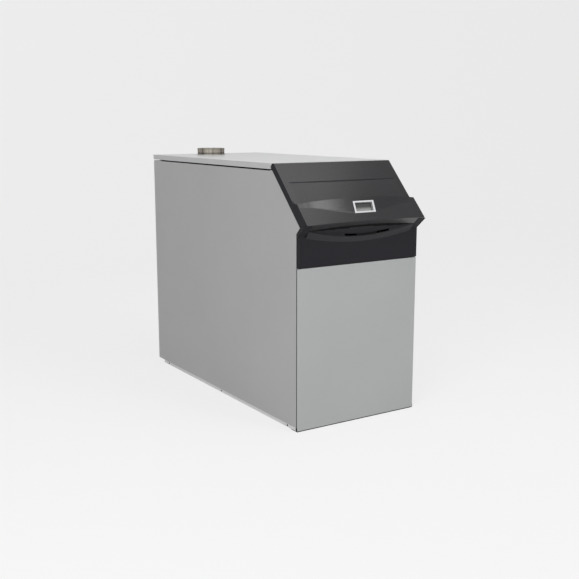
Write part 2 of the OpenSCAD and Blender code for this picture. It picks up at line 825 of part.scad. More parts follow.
// Deck with the controls, and what sits behind it
deck_over = 6;
knob_h = 18;
knob_s = 190;
knob_in = 99;
knob_pitch = 75;
switch_in = 124;
switch_w = 22;
switch_h = 30;
switch_d = 12;
switch_play = 1.2;
switch_pin_r = 1.5;
switch_pin_out = 3;
button_pitch = 26;
button_n = 4;
button_rise = 48;
button_out = 3;
button_s = display_s - button_rise;
button_h = 5;
deck_half = bracket_x + deck_over;
deck_fold = bracket_x - bracket_t - seat;
knob_x = [deck_half - knob_in - knob_pitch, deck_half - knob_in];
switch_x = switch_in - deck_half;
screen_w = 104;
screen_h = 56;
module_d = 24;
box_d = 70;
shaft_r = 4;

function button_x(i) = display_x + (i - (button_n - 1) / 2) * button_pitch;

module control_panel() {
    in_place() color("#3c3d40") on_slope(0, -deck_n) difference() {
        union() {
            span([-deck_half, -deck_low_s, -deck_t], [deck_half, -deck_top_s, 0]);
            span([-deck_fold, -deck_top_s - deck_t, -box_d / 3], [deck_fold, -deck_top_s, 0]);
        }
        for (x = knob_x)
            translate([x, -knob_s, -deck_t - cut]) cylinder(r = shaft_r + run, h = deck_t + 2 * cut);
        translate([switch_x - switch_w / 2 - seat, -knob_s - switch_h / 2 - seat, -deck_t - cut])
            cube([switch_w + 2 * seat, switch_h + 2 * seat, deck_t + 2 * cut]);
        for (i = [0:button_n - 1])
            translate([button_x(i), -button_s, -deck_t - cut])
                cylinder(r = button_r + run, h = deck_t + 2 * cut);
    }
}

module display_module() {
    in_place() color("#3f4a44") on_slope(0, -deck_n) {
        span([display_x - screen_w / 2, -display_s - screen_h / 2, seat],
            [display_x + screen_w / 2, -display_s + screen_h / 2, module_d]);
    }
}

knob_taper_share = 0.88;
grip_n = 12;
grip_r = 2;
mark_w = 1.5;

module knob(x) {
    in_place() color("#d0d1d3") on_slope(knob_s, -deck_n) translate([x, 0, 0]) difference() {
        union() {
            translate([0, 0, seat]) cylinder(r1 = knob_r, r2 = knob_r * knob_taper_share, h = knob_h);
            translate([0, 0, -deck_t - box_d / 7]) cylinder(r = shaft_r, h = knob_h);
        }
        for (i = [0:grip_n - 1])
            rotate([0, 0, 360 * i / grip_n]) translate([knob_r + grip_r / 2, 0, seat + knob_h / 4])
                cylinder(r = grip_r, h = knob_h);
        translate([-mark_w / 2, knob_r / 3, knob_h - mark_w / 2]) cube([mark_w, knob_r, mark_w]);
    }
}

module main_switch() {
    rocker = switch_h / 2 - switch_play;
    in_place() color("#1a1a1c") on_slope(knob_s, -deck_n) translate([switch_x, 0, 0]) rotate([90, 0, 90]) {
        translate([0, 0, -switch_w / 2]) linear_extrude(switch_w) polygon([
            [-rocker, -deck_t], [0, -switch_d], [rocker, -deck_t], [rocker, seat * 4],
            [0, seat * 2], [-rocker, switch_d / 3]
        ]);
        translate([0, -2 * deck_t, -switch_w / 2 - switch_pin_out])
            cylinder(r = switch_pin_r, h = switch_w + 2 * switch_pin_out);
    }
}

button_collar = 1.5;
button_travel = 2;

module button(i) {
    in_place() color("#8f9296") on_slope(0, -deck_n)
        translate([button_x(i), -button_s, -deck_t - button_h]) {
            cylinder(r = button_r, h = deck_t + button_h + button_out);
            cylinder(r = button_r + button_collar, h = button_h - button_travel);
        }
}

box_inset = 30;
box_t = 3;

module electronics_box() {
    half = deck_half - box_inset;
    low = -deck_low_s + box_inset;
    high = -deck_top_s - box_inset;
    in_place() color("#6c7074") {
        on_slope(0, -deck_n - deck_t - seat) difference() {
            span([-half, low, -box_d], [half, high, 0]);
            span([-half + box_t, low + box_t, -box_d + box_t], [half - box_t, high - box_t, cut]);
        }
        translate([gland_x, gland_y, gland_z]) cylinder(r = gland_r, h = gland_h);
    }
}

// Cast exchanger sections with ribbed sides
rib_n = 9;
rib_d = 14;
section_gap = 6;
nipple_wall = 4;
nipple_r = pipe_r + nipple_wall;
section_web = 8;
section_core = (section_pitch - section_gap - section_web) / 2;
bay_n = 5;
bay_half = section_w / 2 - 3 * rib_d;
bay_low = section_h / 4;
bay_top = 2.4 * nipple_r;
bay_pitch = (section_h - bay_low - bay_top) / bay_n;
rib_share = 0.12;
rib_top_share = 0.45;
rib_foot_share = 0.57;
rod_share = 0.04;

module cast_section() {
    rib_pitch = section_h / rib_n;
    side_pts = [
        for (i = [0:rib_n - 1]) each [
            [section_w / 2, (i + rib_share) * rib_pitch], [section_w / 2, (i + rib_top_share) * rib_pitch],
            [section_w / 2 - rib_d, (i + rib_foot_share) * rib_pitch],
            [section_w / 2 - rib_d, (i + 1) * rib_pitch]
        ]
    ];
    low = [[section_w / 2 - rib_d, 0]];
    right = concat(low, side_pts);
    left = [for (i = [len(right) - 1:-1:0]) [-right[i].x, right[i].y]];
    linear_extrude(section_pitch - section_gap) polygon(concat(right, left));
}

module exchanger_sections() {
    in_place() color("#b4b5b2") for (i = [0:section_n - 1])
        translate([0, section_front + i * section_pitch + section_pitch, section_z]) rotate([90, 0, 0])
            difference() {
                union() {
                    difference() {
                        cast_section();
                        for (z = [[-cut, section_core], [section_core + section_web, section_pitch]])
                            for (i = [0:bay_n - 1])
                                span([-bay_half, bay_low + i * bay_pitch, z[0]],
                                    [bay_half, bay_low + (i + 1) * bay_pitch - section_web, z[1]]);
                    }
                    for (z = [flow_z, return_z] - [section_z, section_z])
                        translate([flow_x, z, -section_gap + seat])
                            cylinder(r = nipple_r, h = section_pitch - seat);
                }
                for (x = [-1, 1], z = [section_h * rod_share, section_h * (1 - rod_share)])
                    translate([x * rod_x, z, -section_gap - cut])
                        cylinder(r = rod_r + seat, h = section_pitch + 2 * cut);
            }
}

rod_r = 7;
rod_out = 20;
rod_x = section_w / 2 - 2 * rib_d;
nut_r = 13;
nut_h = 11;

module tie_rods() {
    in_place() color("#9a9c9e")
        for (x = [-1, 1], z = [section_z + section_h * rod_share, section_z + section_h * (1 - rod_share)])
            translate([x * rod_x, 0, z]) {
                rod_y(rod_r, section_front - rod_out + section_gap, section_rear + rod_out, 0, 0);
                for (y = [section_front + section_gap - nut_h - seat, section_rear + seat])
                    translate([0, y, 0]) rotate([-90, 0, 0]) cylinder(r = nut_r, h = nut_h, $fn = 6);
            }
}

// Burner over the sections, fan in front of them
hood_w = 300;
hood_h = 70;
hood_t = 8;
tube_r = 27;
tube_t = 2;
tube_z = exch_top + hood_h / 2;
tube_flange = 12;
tube_flange_t = 5;
burner_x = 0;
fan_r = 112;
fan_grow_share = 0.16;
mouth_share = 0.35;
outlet_share = 1.25;
fan_x = burner_x - fan_r * (1 + mouth_share + fan_grow_share) / 2;
fan_drop = 200;
fan_z = exch_top - fan_drop;
fan_d = 80;
fan_wall = 4;
fan_play = 5;
outlet_half = fan_r * (1 + fan_grow_share - mouth_share) / 2;
fan_lead = 176;
fan_y = section_front - fan_lead;
motor_r = 52;
motor_d = 56;
motor_rib = 3;
motor_rib_n = 6;
motor_rib_pitch = 8;
impeller_r = 92;
impeller_d = 62;
inlet_r = 46;

module burner_hood() {
    foot = section_w / 2 - rib_d;
    crest = hood_w / 2 - hood_h / 3;
    in_place() color("#b4b5b2") difference() {
        translate([0, section_rear - section_gap, exch_top + seat]) rotate([90, 0, 0])
            linear_extrude(section_d - 2 * section_gap) polygon([
                [-foot, 0], [foot, 0], [foot, hood_h / 6], [hood_w / 2, hood_h / 6], [crest, hood_h],
                [-crest, hood_h], [-hood_w / 2, hood_h / 6], [-foot, hood_h / 6]
            ]);
        rod_y(tube_r + seat, section_front - cut, section_front + section_pitch, burner_x, tube_z);
        span([-crest, section_front + section_gap + hood_t, exch_top - cut],
            [crest, section_rear - section_gap - hood_t, exch_top + hood_h - hood_t]);
    }
}

module burner_tube() {
    length = section_d - 2 * section_pitch;
    y = section_front + section_gap - tube_flange_t - seat;
    in_place() color("#8b8d8c") translate([burner_x, y, tube_z])
        rotate([-90, 0, 0]) difference() {
            union() {
                cylinder(r = tube_r, h = length);
                cylinder(r = tube_r + tube_flange, h = tube_flange_t);
            }
            translate([0, 0, -cut]) cylinder(r = tube_r - tube_t, h = length - tube_t);
        }
}

module fan_housing() {
    turns = 30;
    function spiral(a) = fan_r * (1 + fan_grow_share * a / 360);
    outer = [for (i = [0:turns]) let (a = 360 * i / turns) spiral(a) * [cos(a), sin(a)]];
    in_place() color("#b9bbba") translate([fan_x, fan_y + fan_d, fan_z]) rotate([90, 0, 0]) {
        difference() {
            union() {
                linear_extrude(fan_d) polygon(outer);
                span([fan_r * mouth_share, 0, 0],
                    [fan_r * (1 + fan_grow_share), fan_r * outlet_share, fan_d]);
                translate([0, 0, fan_d]) cylinder(r = inlet_r + 2 * fan_wall, h = 3 * fan_wall);
            }
            translate([0, 0, fan_wall]) cylinder(r = impeller_r + fan_play, h = fan_d - 2 * fan_wall);
            span([fan_r * mouth_share + fan_wall, 0, fan_wall],
                [fan_r * (1 + fan_grow_share) - fan_wall, fan_r * outlet_share + cut, fan_d - fan_wall]);
            translate([0, 0, fan_wall]) cylinder(r = inlet_r, h = fan_d + 3 * fan_wall);
            translate([0, 0, -cut]) cylinder(r = shaft_r + seat * 2, h = fan_wall + 2 * cut);
        }
    }
}

blade_n = 24;
blade_turn = 38;
blade_t = 1.6;
blade_eye_share = 0.72;
blade_root_share = 0.74;
blade_share = 0.25;
disc_t = 2;
ring_t = 3;

module fan_impeller() {
    z0 = 2 * fan_wall;
    in_place() color("#8b8d8c") translate([fan_x, fan_y + fan_d, fan_z]) rotate([90, 0, 0]) {
        difference() {
            union() {
                translate([0, 0, z0]) cylinder(r = impeller_r, h = disc_t);
                translate([0, 0, z0]) cylinder(r = shaft_r * 3, h = impeller_d / 2);
                translate([0, 0, z0 + impeller_d - ring_t]) difference() {
                    cylinder(r = impeller_r, h = ring_t);
                    translate([0, 0, -cut]) cylinder(r = impeller_r * blade_eye_share, h = ring_t + 2 * cut);
                }
                for (i = [0:blade_n - 1]) rotate([0, 0, i * 360 / blade_n])
                    translate([impeller_r * blade_root_share, 0, z0 + disc_t / 2]) rotate([0, 0, blade_turn])
                        cube([impeller_r * blade_share, blade_t, impeller_d - disc_t]);
            }
            translate([0, 0, z0 - cut]) cylinder(r = shaft_r + run, h = impeller_d);
        }
    }
}

module fan_motor() {
    in_place() color("#3a3c3f") {
        rod_y(motor_r, fan_y + fan_d + seat, fan_y + fan_d + motor_d, fan_x, fan_z);
        for (i = [1:motor_rib_n])
            let (y = fan_y + fan_d + i * motor_rib_pitch)
            rod_y(motor_r + motor_rib, y, y + motor_rib, fan_x, fan_z);
        rod_y(shaft_r, fan_y + fan_d / 2, fan_y + fan_d + motor_rib, fan_x, fan_z);
    }
}

elbow_y = fan_y + fan_d / 2;
elbow_r = 30;
elbow_bend = 44;
elbow_z = fan_z + fan_r * outlet_share + seat;
elbow_end = section_front + section_gap - tube_flange_t - 2 * seat;

module mixing_elbow() {
    corner = [burner_x, elbow_y, tube_z];
    ends = [[burner_x, elbow_y, elbow_z], corner, [burner_x, elbow_end, tube_z]];
    bore = [[burner_x, elbow_y, elbow_z - cut], corner, [burner_x, elbow_end + cut, tube_z]];
    in_place() color("#b4b5b2") difference() {
        union() {
            run_along(ends, elbow_r, elbow_bend);
            span([burner_x - outlet_half, fan_y, elbow_z],
                [burner_x + outlet_half, fan_y + fan_d, elbow_z + fan_wall]);
            rod_y(tube_r + tube_flange, elbow_end - fan_wall, elbow_end, burner_x, tube_z);
        }
        run_along(bore, elbow_r - fan_wall, elbow_bend);
    }
}

duct_len = 90;
window_share = 0.6;

module air_duct() {
    in_place() color("#55585b")
        translate([fan_x, fan_y - 3 * fan_wall - seat, fan_z]) rotate([90, 0, 0]) difference() {
            cylinder(r = inlet_r + fan_wall, h = duct_len);
            translate([0, 0, -cut]) cylinder(r = inlet_r, h = duct_len - fan_wall + cut);
            span([-inlet_r * window_share, 0, duct_len / 4],
                [inlet_r * window_share, inlet_r * 2, duct_len - 4 * fan_wall]);
        }
}

valve_w = 80;
valve_in = 112;
valve_x = gas_x - valve_in;
valve_d = 70;
valve_h = 70;
valve_rise = 20;
valve_z = fan_z + valve_rise;
coil_r = 18;
coil_h = 40;
governor_r = 14;
gas_bend = 50;
gas_stub = 36;
gas_ring = 5;

// Gland on the sloping back of the electronics box, over the gas valve
gland_r = 9;
gland_h = 28;
gland_x = valve_x - valve_w;
gland_y = fan_y + valve_d / 2;
gland_low = slope_pt(0, -deck_n - deck_t - box_d);
gland_z = gland_low.y - (gland_low.x - gland_y) * tan(slant) - gland_h + gland_r;

module gas_valve() {
    mid_y = fan_y + valve_d / 2;
    in_place() color("#9fa2a4") {
        span([valve_x - valve_w / 2, fan_y, valve_z - valve_h / 2],
            [valve_x + valve_w / 2, fan_y + valve_d, valve_z + valve_h / 2]);
        translate([valve_x, mid_y, valve_z + valve_h / 2]) cylinder(r = coil_r, h = coil_h);
        translate([valve_x - valve_w / 4, mid_y, valve_z - valve_h])
            cylinder(r = governor_r, h = valve_h / 2);
    }
}

module gas_pipe() {
    valve_side = valve_x + valve_w / 2 + seat;
    y = fan_y + valve_d / 2;
    wall = gas_r / 8;
    out_y = body_d + pipe_reach - 2 * seat;
    run_in = [[gas_x, y, gas_z], [gas_x, y, valve_z]];
    stub_y = out_y - gas_stub;
    in_place() color("#c9a227") difference() {
        union() {
            run_along(concat([[gas_x, stub_y, gas_z]], run_in, [[valve_side, y, valve_z]]), gas_r, gas_bend);
            rod_y(gas_r + gas_ring, stub_y - gas_ring, stub_y, gas_x, gas_z);
            rod_y(gas_r - seat, stub_y - gas_ring, out_y, gas_x, gas_z);
        }
        run_along(concat([[gas_x, out_y + cut, gas_z]], run_in, [[valve_side - cut, y, valve_z]]),
            gas_r - wall, gas_bend);
    }
}

spark_r = 5;
spark_len = 40;
spark_gap = 18;

module ignition_electrodes() {
    y1 = section_front + section_gap - seat;
    in_place() color("#e8e4da") for (side = [-1, 1])
        rod_y(spark_r, y1 - spark_len, y1, hood_w / 4 + side * spark_gap / 2, exch_top + hood_h / 2);
}

flange_t = 14;
neck = 10;
neck_t = 12;
bolt_r = 7;

module flanged_pipe(z, y0) {
    end = body_d + pipe_reach;
    difference() {
        union() {
            rod_y(pipe_r, y0, end, flow_x, z);
            rod_y(flange_r, end - flange_t, end, flow_x, z);
            rod_y(pipe_r + neck, y0, y0 + neck_t, flow_x, z);
        }
        rod_y(pipe_r - pipe_t, y0 - cut, end + cut, flow_x, z);
        for (i = [0:3])
            translate([flow_x, end - flange_t - cut, z]) rotate([-90, 0, 0]) rotate([0, 0, 45 + 90 * i])
                translate([flange_pcd / 2, 0, 0]) cylinder(r = bolt_r, h = flange_t + 2 * cut);
    }
}

module flow_pipe() {
    in_place() color("#8f8f8c") flanged_pipe(flow_z, section_rear + section_gap);
}

module return_pipe() {
    in_place() color("#8f8f8c") flanged_pipe(return_z, section_rear + section_gap);
}

tray_h = 70;
tray_z = section_z - seat - stand_t - tray_h;
tray_t = 4;
tray_in = 10;
tray_rear = section_rear - tray_in;
branch_r = tray_h / 2 - tray_t;
duct_t = 3;

module condensate_tray() {
    half = stand_x - seat;
    front = section_front + section_gap;
    in_place() color("#3d4a52") difference() {
        span([-half, front, tray_z], [half, tray_rear, tray_z + tray_h]);
        span([-half + tray_t, front + tray_t, tray_z + tray_t],
            [half - tray_t, tray_rear - tray_t, tray_z + tray_h + cut]);
        rod_y(branch_r - tray_t / 2, tray_rear - 2 * tray_t, tray_rear + cut, flue_x, tray_z + tray_h / 2);
    }
}

// The duct's thicker wall is the stop for a pipe that is pushed into the collar
module flue_duct() {
    in_place() color("#b7b2a9") difference() {
        union() {
            translate([flue_x, flue_back, tray_z]) cylinder(r = collar_r, h = cover_z - tray_z);
            rod_y(branch_r, tray_rear + seat, flue_back, flue_x, tray_z + tray_h / 2);
        }
        translate([flue_x, flue_back, tray_z + duct_t]) cylinder(r = collar_r - duct_t, h = cover_z - tray_z);
        rod_y(branch_r - duct_t, tray_rear, flue_back, flue_x, tray_z + tray_h / 2);
    }
}

bead_out = 1.5;
groove_in = 1;
groove_z = 6;

module flue_collar() {
    low = cover_z + seat;
    top = body_h + collar_h;
    groove = body_h + groove_z;
    in_place() color("#b7b2a9") translate([flue_x, flue_back, 0]) rotate_extrude() polygon([
        [flue_r, low], [collar_r, low], [collar_r, groove], [collar_r - groove_in, groove + groove_in],
        [collar_r - groove_in, groove + 3 * groove_in], [collar_r, groove + 4 * groove_in],
        [collar_r, top - 5 * bead_out], [collar_r + bead_out, top - 4 * bead_out],
        [collar_r + bead_out, top - bead_out], [collar_r, top], [flue_r, top]
    ]);
}

module flue_seal() {
    in_place() color("#262628") translate([flue_x, flue_back, body_h - cover_h / 3]) difference() {
        cylinder(r = collar_r + seal_w - seat, h = cover_h / 3);
        translate([0, 0, -cut]) cylinder(r = collar_r + seat, h = cover_h);
    }
}

siphon_y = member_places[3] + member_w / 2;
siphon_r = 38;
siphon_h = 120;
siphon_t = 2;
siphon_end = body_d + pipe_reach / 2;

module siphon() {
    in_place() color("#c9ccd0") {
        translate([siphon_x, siphon_y, rail_h + seat]) cylinder(r = siphon_r, h = siphon_h);
        translate([siphon_x, siphon_y, rail_h + seat])
            cylinder(r = siphon_out_r, h = tray_z - rail_h - 2 * seat);
        difference() {
            union() {
                rod_y(siphon_out_r, siphon_y, body_d, siphon_x, drain_out_z);
                rod_y(siphon_out_r - siphon_t / 2, siphon_y, siphon_end, siphon_x, drain_out_z);
            }
            rod_y(siphon_out_r - siphon_t * 3 / 2, siphon_y + siphon_r, siphon_end + cut,
                siphon_x, drain_out_z);
        }
    }
}

drain_x = flow_x;
drain_back = 170;
drain_y = section_rear + drain_back;
drain_drop = 40;
drain_z = return_z - pipe_r - drain_drop;
drain_neck_r = 11;
drain_ball_r = 17;
drain_out_r = 10;
lever_len = 62;
lever_w = 14;
lever_t = 4;

module drain_valve() {
    in_place() color("#b89b4a") difference() {
        union() {
            translate([drain_x, drain_y, drain_z])
                cylinder(r = drain_neck_r, h = return_z - pipe_r - drain_z - seat);
            translate([drain_x, drain_y, drain_z]) sphere(r = drain_ball_r);
            translate([drain_x, drain_y, drain_z - drain_drop])
                cylinder(r = drain_out_r, h = drain_drop - drain_ball_r / 2);
        }
        rod_y(shaft_r + run, drain_y + drain_ball_r / 2, drain_y + 2 * drain_ball_r, drain_x, drain_z);
    }
}

module drain_lever() {
    face = drain_y + drain_ball_r + lever_t;
    in_place() color("#a03028") {
        rod_y(shaft_r, drain_y + drain_ball_r / 2 + seat, face, drain_x, drain_z);
        span([drain_x - lever_w / 2, face - lever_t / 2, drain_z - lever_w / 2],
            [drain_x + lever_len, face + lever_t / 2, drain_z + lever_w / 2]);
    }
}

cable_r = 6;
cable_bend = 26;

module wiring_harness() {
    plug_z = valve_z + (valve_h + coil_h) / 2;
    in_place() color("#202022") run_along([
        [gland_x, gland_y, gland_z - seat], [gland_x, gland_y, plug_z],
        [valve_x - coil_r - seat, gland_y, plug_z]
    ], cable_r, cable_bend);
}

base_rail_left();
base_rail_right();
front_sill();
base_cross_members();
exchanger_stand();
frame_posts();
frame_top_rails();
console_brackets();
side_panel_left();
side_panel_right();
rear_panel();
panel_screws();
top_cover();
front_panel();
panel_catches();
cheek_left();
cheek_right();
fascia();
flap();
window_frame();
window_lens();
hinge_arms();
hinge_brackets();
latch_tab();
control_panel();
display_module();
main_switch();
knob(knob_x[0]);  // knob_heating
knob(knob_x[1]);  // knob_water
button(0);  // button_1
button(1);  // button_2
button(2);  // button_3
button(3);  // button_4
electronics_box();
exchanger_sections();
tie_rods();
burner_hood();
burner_tube();
fan_housing();
fan_impeller();
fan_motor();
gas_valve();
gas_pipe();
mixing_elbow();
air_duct();
ignition_electrodes();
flow_pipe();
return_pipe();
condensate_tray();
flue_duct();
flue_collar();
flue_seal();
siphon();
drain_valve();
drain_lever();
foot(-1, foot_front);  // foot_front_left
foot(1, foot_front);  // foot_front_right
foot(-1, foot_rear);  // foot_rear_left
foot(1, foot_rear);  // foot_rear_right
wiring_harness();
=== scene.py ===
# %% [markdown]
# A floor-standing gas boiler, seen a little from above and from its front left
# corner. The solids of the boiler come in as a fixed frame, in metres, with the
# floor at zero height and the front panel facing minus Y. What this script adds
# is the look: soft edges on the sheet metal, a finer moulding for the console,
# and a finish for each piece. Loading the frame first means that every later
# piece can be placed from real positions and never has to be fitted by eye.

# %% load the boiler's solids
import json
import math

import bmesh
import bpy
from mathutils import Matrix, Vector


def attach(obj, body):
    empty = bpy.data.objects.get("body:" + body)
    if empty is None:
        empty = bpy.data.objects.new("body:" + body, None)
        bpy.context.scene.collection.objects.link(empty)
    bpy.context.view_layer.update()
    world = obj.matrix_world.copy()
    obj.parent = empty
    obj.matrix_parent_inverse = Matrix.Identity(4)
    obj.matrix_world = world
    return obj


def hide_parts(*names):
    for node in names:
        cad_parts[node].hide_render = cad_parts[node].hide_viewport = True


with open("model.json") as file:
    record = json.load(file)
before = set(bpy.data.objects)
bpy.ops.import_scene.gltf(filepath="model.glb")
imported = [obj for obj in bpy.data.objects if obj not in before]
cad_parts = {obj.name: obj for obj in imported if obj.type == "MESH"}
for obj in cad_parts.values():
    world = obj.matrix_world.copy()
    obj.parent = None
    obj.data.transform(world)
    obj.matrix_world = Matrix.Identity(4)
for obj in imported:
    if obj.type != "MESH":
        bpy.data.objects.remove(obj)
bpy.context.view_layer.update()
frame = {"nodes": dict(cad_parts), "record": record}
nodes = frame["nodes"]
body_of_node = {
    node: body for body, members in frame["record"]["behaviour"]["bodies"].items() for node in members
}
slot_of_node = {s["node"]: s["material_slot"] for s in frame["record"]["subparts"]}

# %% [markdown]
# The camera comes next, because a likeness starts with the right viewpoint. The
# photograph was taken from about three metres, 33 degrees to the left of the
# boiler's front and 11 degrees above level. A real lens length keeps the
# convergence of the long side panel true; a picture with no perspective would
# make the rear look too tall.

# %% camera
CAMERA_PLACE = (-2.509, -4.0527, 1.4258)
CAMERA_DOWN = 10.725
CAMERA_RIGHT = 32.747
LENS = 55.10

camera_data = bpy.data.cameras.new("camera")
camera_data.lens = LENS
camera_data.sensor_width = 36
camera = bpy.data.objects.new("camera", camera_data)
camera.location = CAMERA_PLACE
camera.rotation_euler = (math.radians(90 - CAMERA_DOWN), 0, math.radians(-CAMERA_RIGHT))
bpy.context.scene.collection.objects.link(camera)
bpy.context.scene.camera = camera
bpy.context.scene.view_settings.view_transform = "Standard"
print("camera at", CAMERA_PLACE)

# %% [markdown]
# Shader maths reads best as ordinary expressions, such as 1 - mask * 0.3. A
# small class wraps a socket and turns the Python operators into Math nodes. One
# method makes every other node: it takes the node's kind, its settings and the
# values or links of its sockets. The other way, naming and linking each node by
# hand, hides the idea of a finish behind dozens of lines.


# %% a wrapped socket and a finish that is being built
class Channel:
    def __init__(self, finish, socket):
        self.finish = finish
        self.socket = socket

    def maths(self, operation, other=0.0, swap=False):
        values = [other, self] if swap else [self, other]
        return self.finish.node("ShaderNodeMath", {"operation": operation}, dict(enumerate(values)))

    def __add__(self, other):
        return self.maths("ADD", other)

    def __radd__(self, other):
        return self.maths("ADD", other, True)

    def __sub__(self, other):
        return self.maths("SUBTRACT", other)

    def __rsub__(self, other):
        return self.maths("SUBTRACT", other, True)

    def __mul__(self, other):
        return self.maths("MULTIPLY", other)

    def __rmul__(self, other):
        return self.maths("MULTIPLY", other, True)

    def above(self, edge, softness):
        return self.finish.node(
            "ShaderNodeMapRange", {"clamp": True},
            {"Value": self, "From Min": edge - softness, "From Max": edge + softness},
        )


class Finish:
    def __init__(self, title, metallic=0.0, roughness=0.5, **constants):
        self.material = bpy.data.materials.new(title)
        self.material.use_nodes = True
        self.tree = self.material.node_tree
        self.shader = self.tree.nodes["Principled BSDF"]
        self.shader.inputs["Metallic"].default_value = metallic
        self.shader.inputs["Roughness"].default_value = roughness
        for name, value in constants.items():
            self.shader.inputs[name.replace("_", " ")].default_value = value

    def feed(self, socket, value):
        if isinstance(value, Channel):
            self.tree.links.new(value.socket, socket)
        else:
            socket.default_value = value

    def node(self, kind, settings=None, values=None, out=0):
        made = self.tree.nodes.new(kind)
        for name, value in (settings or {}).items():
            setattr(made, name, value)
        for name, value in (values or {}).items():
            self.feed(made.inputs[name], value)
        return Channel(self, made.outputs[out])

    def place(self):
        return self.node("ShaderNodeTexCoord", out="Object")

    def stretched(self, scale):
        return self.node("ShaderNodeVectorMath", {"operation": "MULTIPLY"}, {0: self.place(), 1: scale})

    def noise(self, scale, detail=2.0, vector=None, distortion=0.0):
        values = {
            "Vector": vector or self.place(), "Scale": scale,
            "Detail": detail, "Distortion": distortion,
        }
        out = "Factor" if bpy.app.version >= (5, 0, 0) else "Fac"
        return self.node("ShaderNodeTexNoise", None, values, out)

    def height(self):
        """The height above the floor of the point that is shaded."""
        return self.node("ShaderNodeSeparateXYZ", None, {"Vector": self.place()}, "Z")

    def blend(self, low, high, share):
        return self.node(
            "ShaderNodeMix", {"data_type": "RGBA"}, {"Factor": share, 6: low, 7: high}, 2,
        )

    def give(self, **outputs):
        for name, value in outputs.items():
            self.feed(self.shader.inputs[name.replace("_", " ")], value)

    def bump(self, height, strength, distance):
        self.give(Normal=self.node(
            "ShaderNodeBump", None, {"Height": height, "Strength": strength, "Distance": distance},
        ))
        return self.material


def shade(red, green, blue):
    """A colour as it is read on a screen, from 0 to 255, turned into linear light."""
    def linear(v):
        v = v / 255
        return v / 12.92 if v <= 0.04045 else ((v + 0.055) / 1.055) ** 2.4
    return (linear(red), linear(green), linear(blue), 1.0)


def tinted(colour, factor):
    return tuple(min(1.0, c * factor) for c in colour[:3]) + (1.0,)


print("shader tools ready")

# %% [markdown]
# Powder coat is baked plastic on steel. It is not quite smooth: it has the fine
# dimples called orange peel, a few tenths of a millimetre high at most, and big
# sheets show faint clouding where the coat varies in thickness. A noise of some
# millimetres feeds the bump, and a very large one shifts colour and roughness
# by a few percent. A flat colour would look like paper at this size.


# %% powder coat
def powder_coat(title, colour, roughness=0.42, peel=0.12, cloud=0.05, uneven=0.12):
    f = Finish(title, Coat_Weight=0.12, Coat_Roughness=0.3)
    clouding = f.noise(2.3, 3.0)
    f.give(Base_Color=f.blend(tinted(colour, 1 - cloud), tinted(colour, 1 + cloud), clouding))
    f.give(Roughness=roughness - uneven / 2 + uneven * f.noise(14.0, 3.0))
    return f.bump(f.noise(420.0, 2.0), peel, 0.0004)


FINISHES = {
    "panel_grey": powder_coat("panel_grey", shade(162, 162, 162)),
    "door_grey": powder_coat("door_grey", shade(168, 170, 170)),
    "cover_light": powder_coat(
        "cover_light", shade(214, 215, 215), 0.3, peel=0.03, cloud=0.01, uneven=0.02),
    # a darker copy of the cover paint, as painted shade on the cover's side edges
    "cover_edge": powder_coat("cover_edge", shade(180, 180, 181), 0.36, peel=0.06, cloud=0.02),
    "frame_steel": powder_coat("frame_steel", shade(128, 130, 132), roughness=0.55),
    "base_light": powder_coat("base_light", shade(206, 206, 206), roughness=0.45),
    "deck_grey": powder_coat("deck_grey", shade(58, 59, 62), roughness=0.5),
    "gas_yellow": powder_coat("gas_yellow", shade(205, 166, 38), roughness=0.35),
}
print(len(FINISHES), "powder coats")

# %% [markdown]
# The console is moulded in dark plastic with a leathery grain eroded into the
# tool. The grain is cells of about a millimetre, so a Voronoi pattern drives the
# bump, with fine noise over it. The grain also scatters light, and the high
# spots are a touch more polished, so the pattern feeds the roughness as well.


# %% moulded plastics
def moulded(title, colour, roughness=0.45, grain=900.0, depth=0.25, shine=0.5):
    f = Finish(title, Specular_IOR_Level=shine)
    pattern = {"Vector": f.place(), "Scale": grain}
    cells = f.node("ShaderNodeTexVoronoi", {"feature": "SMOOTH_F1"}, pattern)
    fine = f.noise(grain * 2.4, 2.0)
    f.give(Base_Color=f.blend(tinted(colour, 0.93), tinted(colour, 1.07), f.noise(9.0, 4.0)))
    f.give(Roughness=roughness - 0.05 + 0.16 * cells)
    return f.bump(cells * 0.7 + fine * 0.3, depth, 0.0003)


FINISHES.update({
    "console_dark": moulded("console_dark", shade(36, 35, 38), roughness=0.22, depth=0.12, shine=0.6),
    "console_end": moulded("console_end", shade(38, 38, 41), roughness=0.6, shine=0.15),
    "mouth_band": moulded("mouth_band", shade(40, 40, 43), roughness=0.5, shine=0.3),
    "fascia_dark": moulded("fascia_dark", shade(26, 24, 30), roughness=0.45, shine=0.25),
    "trim_black": moulded("trim_black", shade(11, 11, 12), roughness=0.6, shine=0.15),
    "frame_silver": moulded(
        "frame_silver", shade(214, 214, 216), roughness=0.3, grain=1500.0, depth=0.06),
    "knob_silver": moulded("knob_silver", shade(196, 198, 201), roughness=0.28, grain=1500.0, depth=0.08),
    "tray_blue": moulded("tray_blue", shade(62, 74, 84), roughness=0.55, grain=300.0),
    "siphon_white": moulded("siphon_white", shade(204, 207, 210), roughness=0.4, grain=500.0, depth=0.1),
    "lever_red": moulded("lever_red", shade(168, 46, 38), roughness=0.25, grain=400.0, depth=0.05),
    "ceramic": moulded("ceramic", shade(232, 227, 214), roughness=0.12, grain=220.0, depth=0.05),
    "seal_rubber": moulded("seal_rubber", shade(12, 12, 13), roughness=0.7, grain=1200.0, shine=0.12),
    "cable_black": moulded("cable_black", shade(27, 27, 29), roughness=0.5, grain=700.0, depth=0.1),
})
print(len(FINISHES), "finishes so far")

# %% [markdown]
# Rolled and brushed steel gets its look from fine parallel lines. They are a
# noise squeezed hard across the lines and stretched along them. The lines feed
# roughness and a shallow bump, so that the lamps draw out along the metal. A
# real anisotropic shader would do it too, but it is lost when the model is
# exported, and lines in roughness are not.


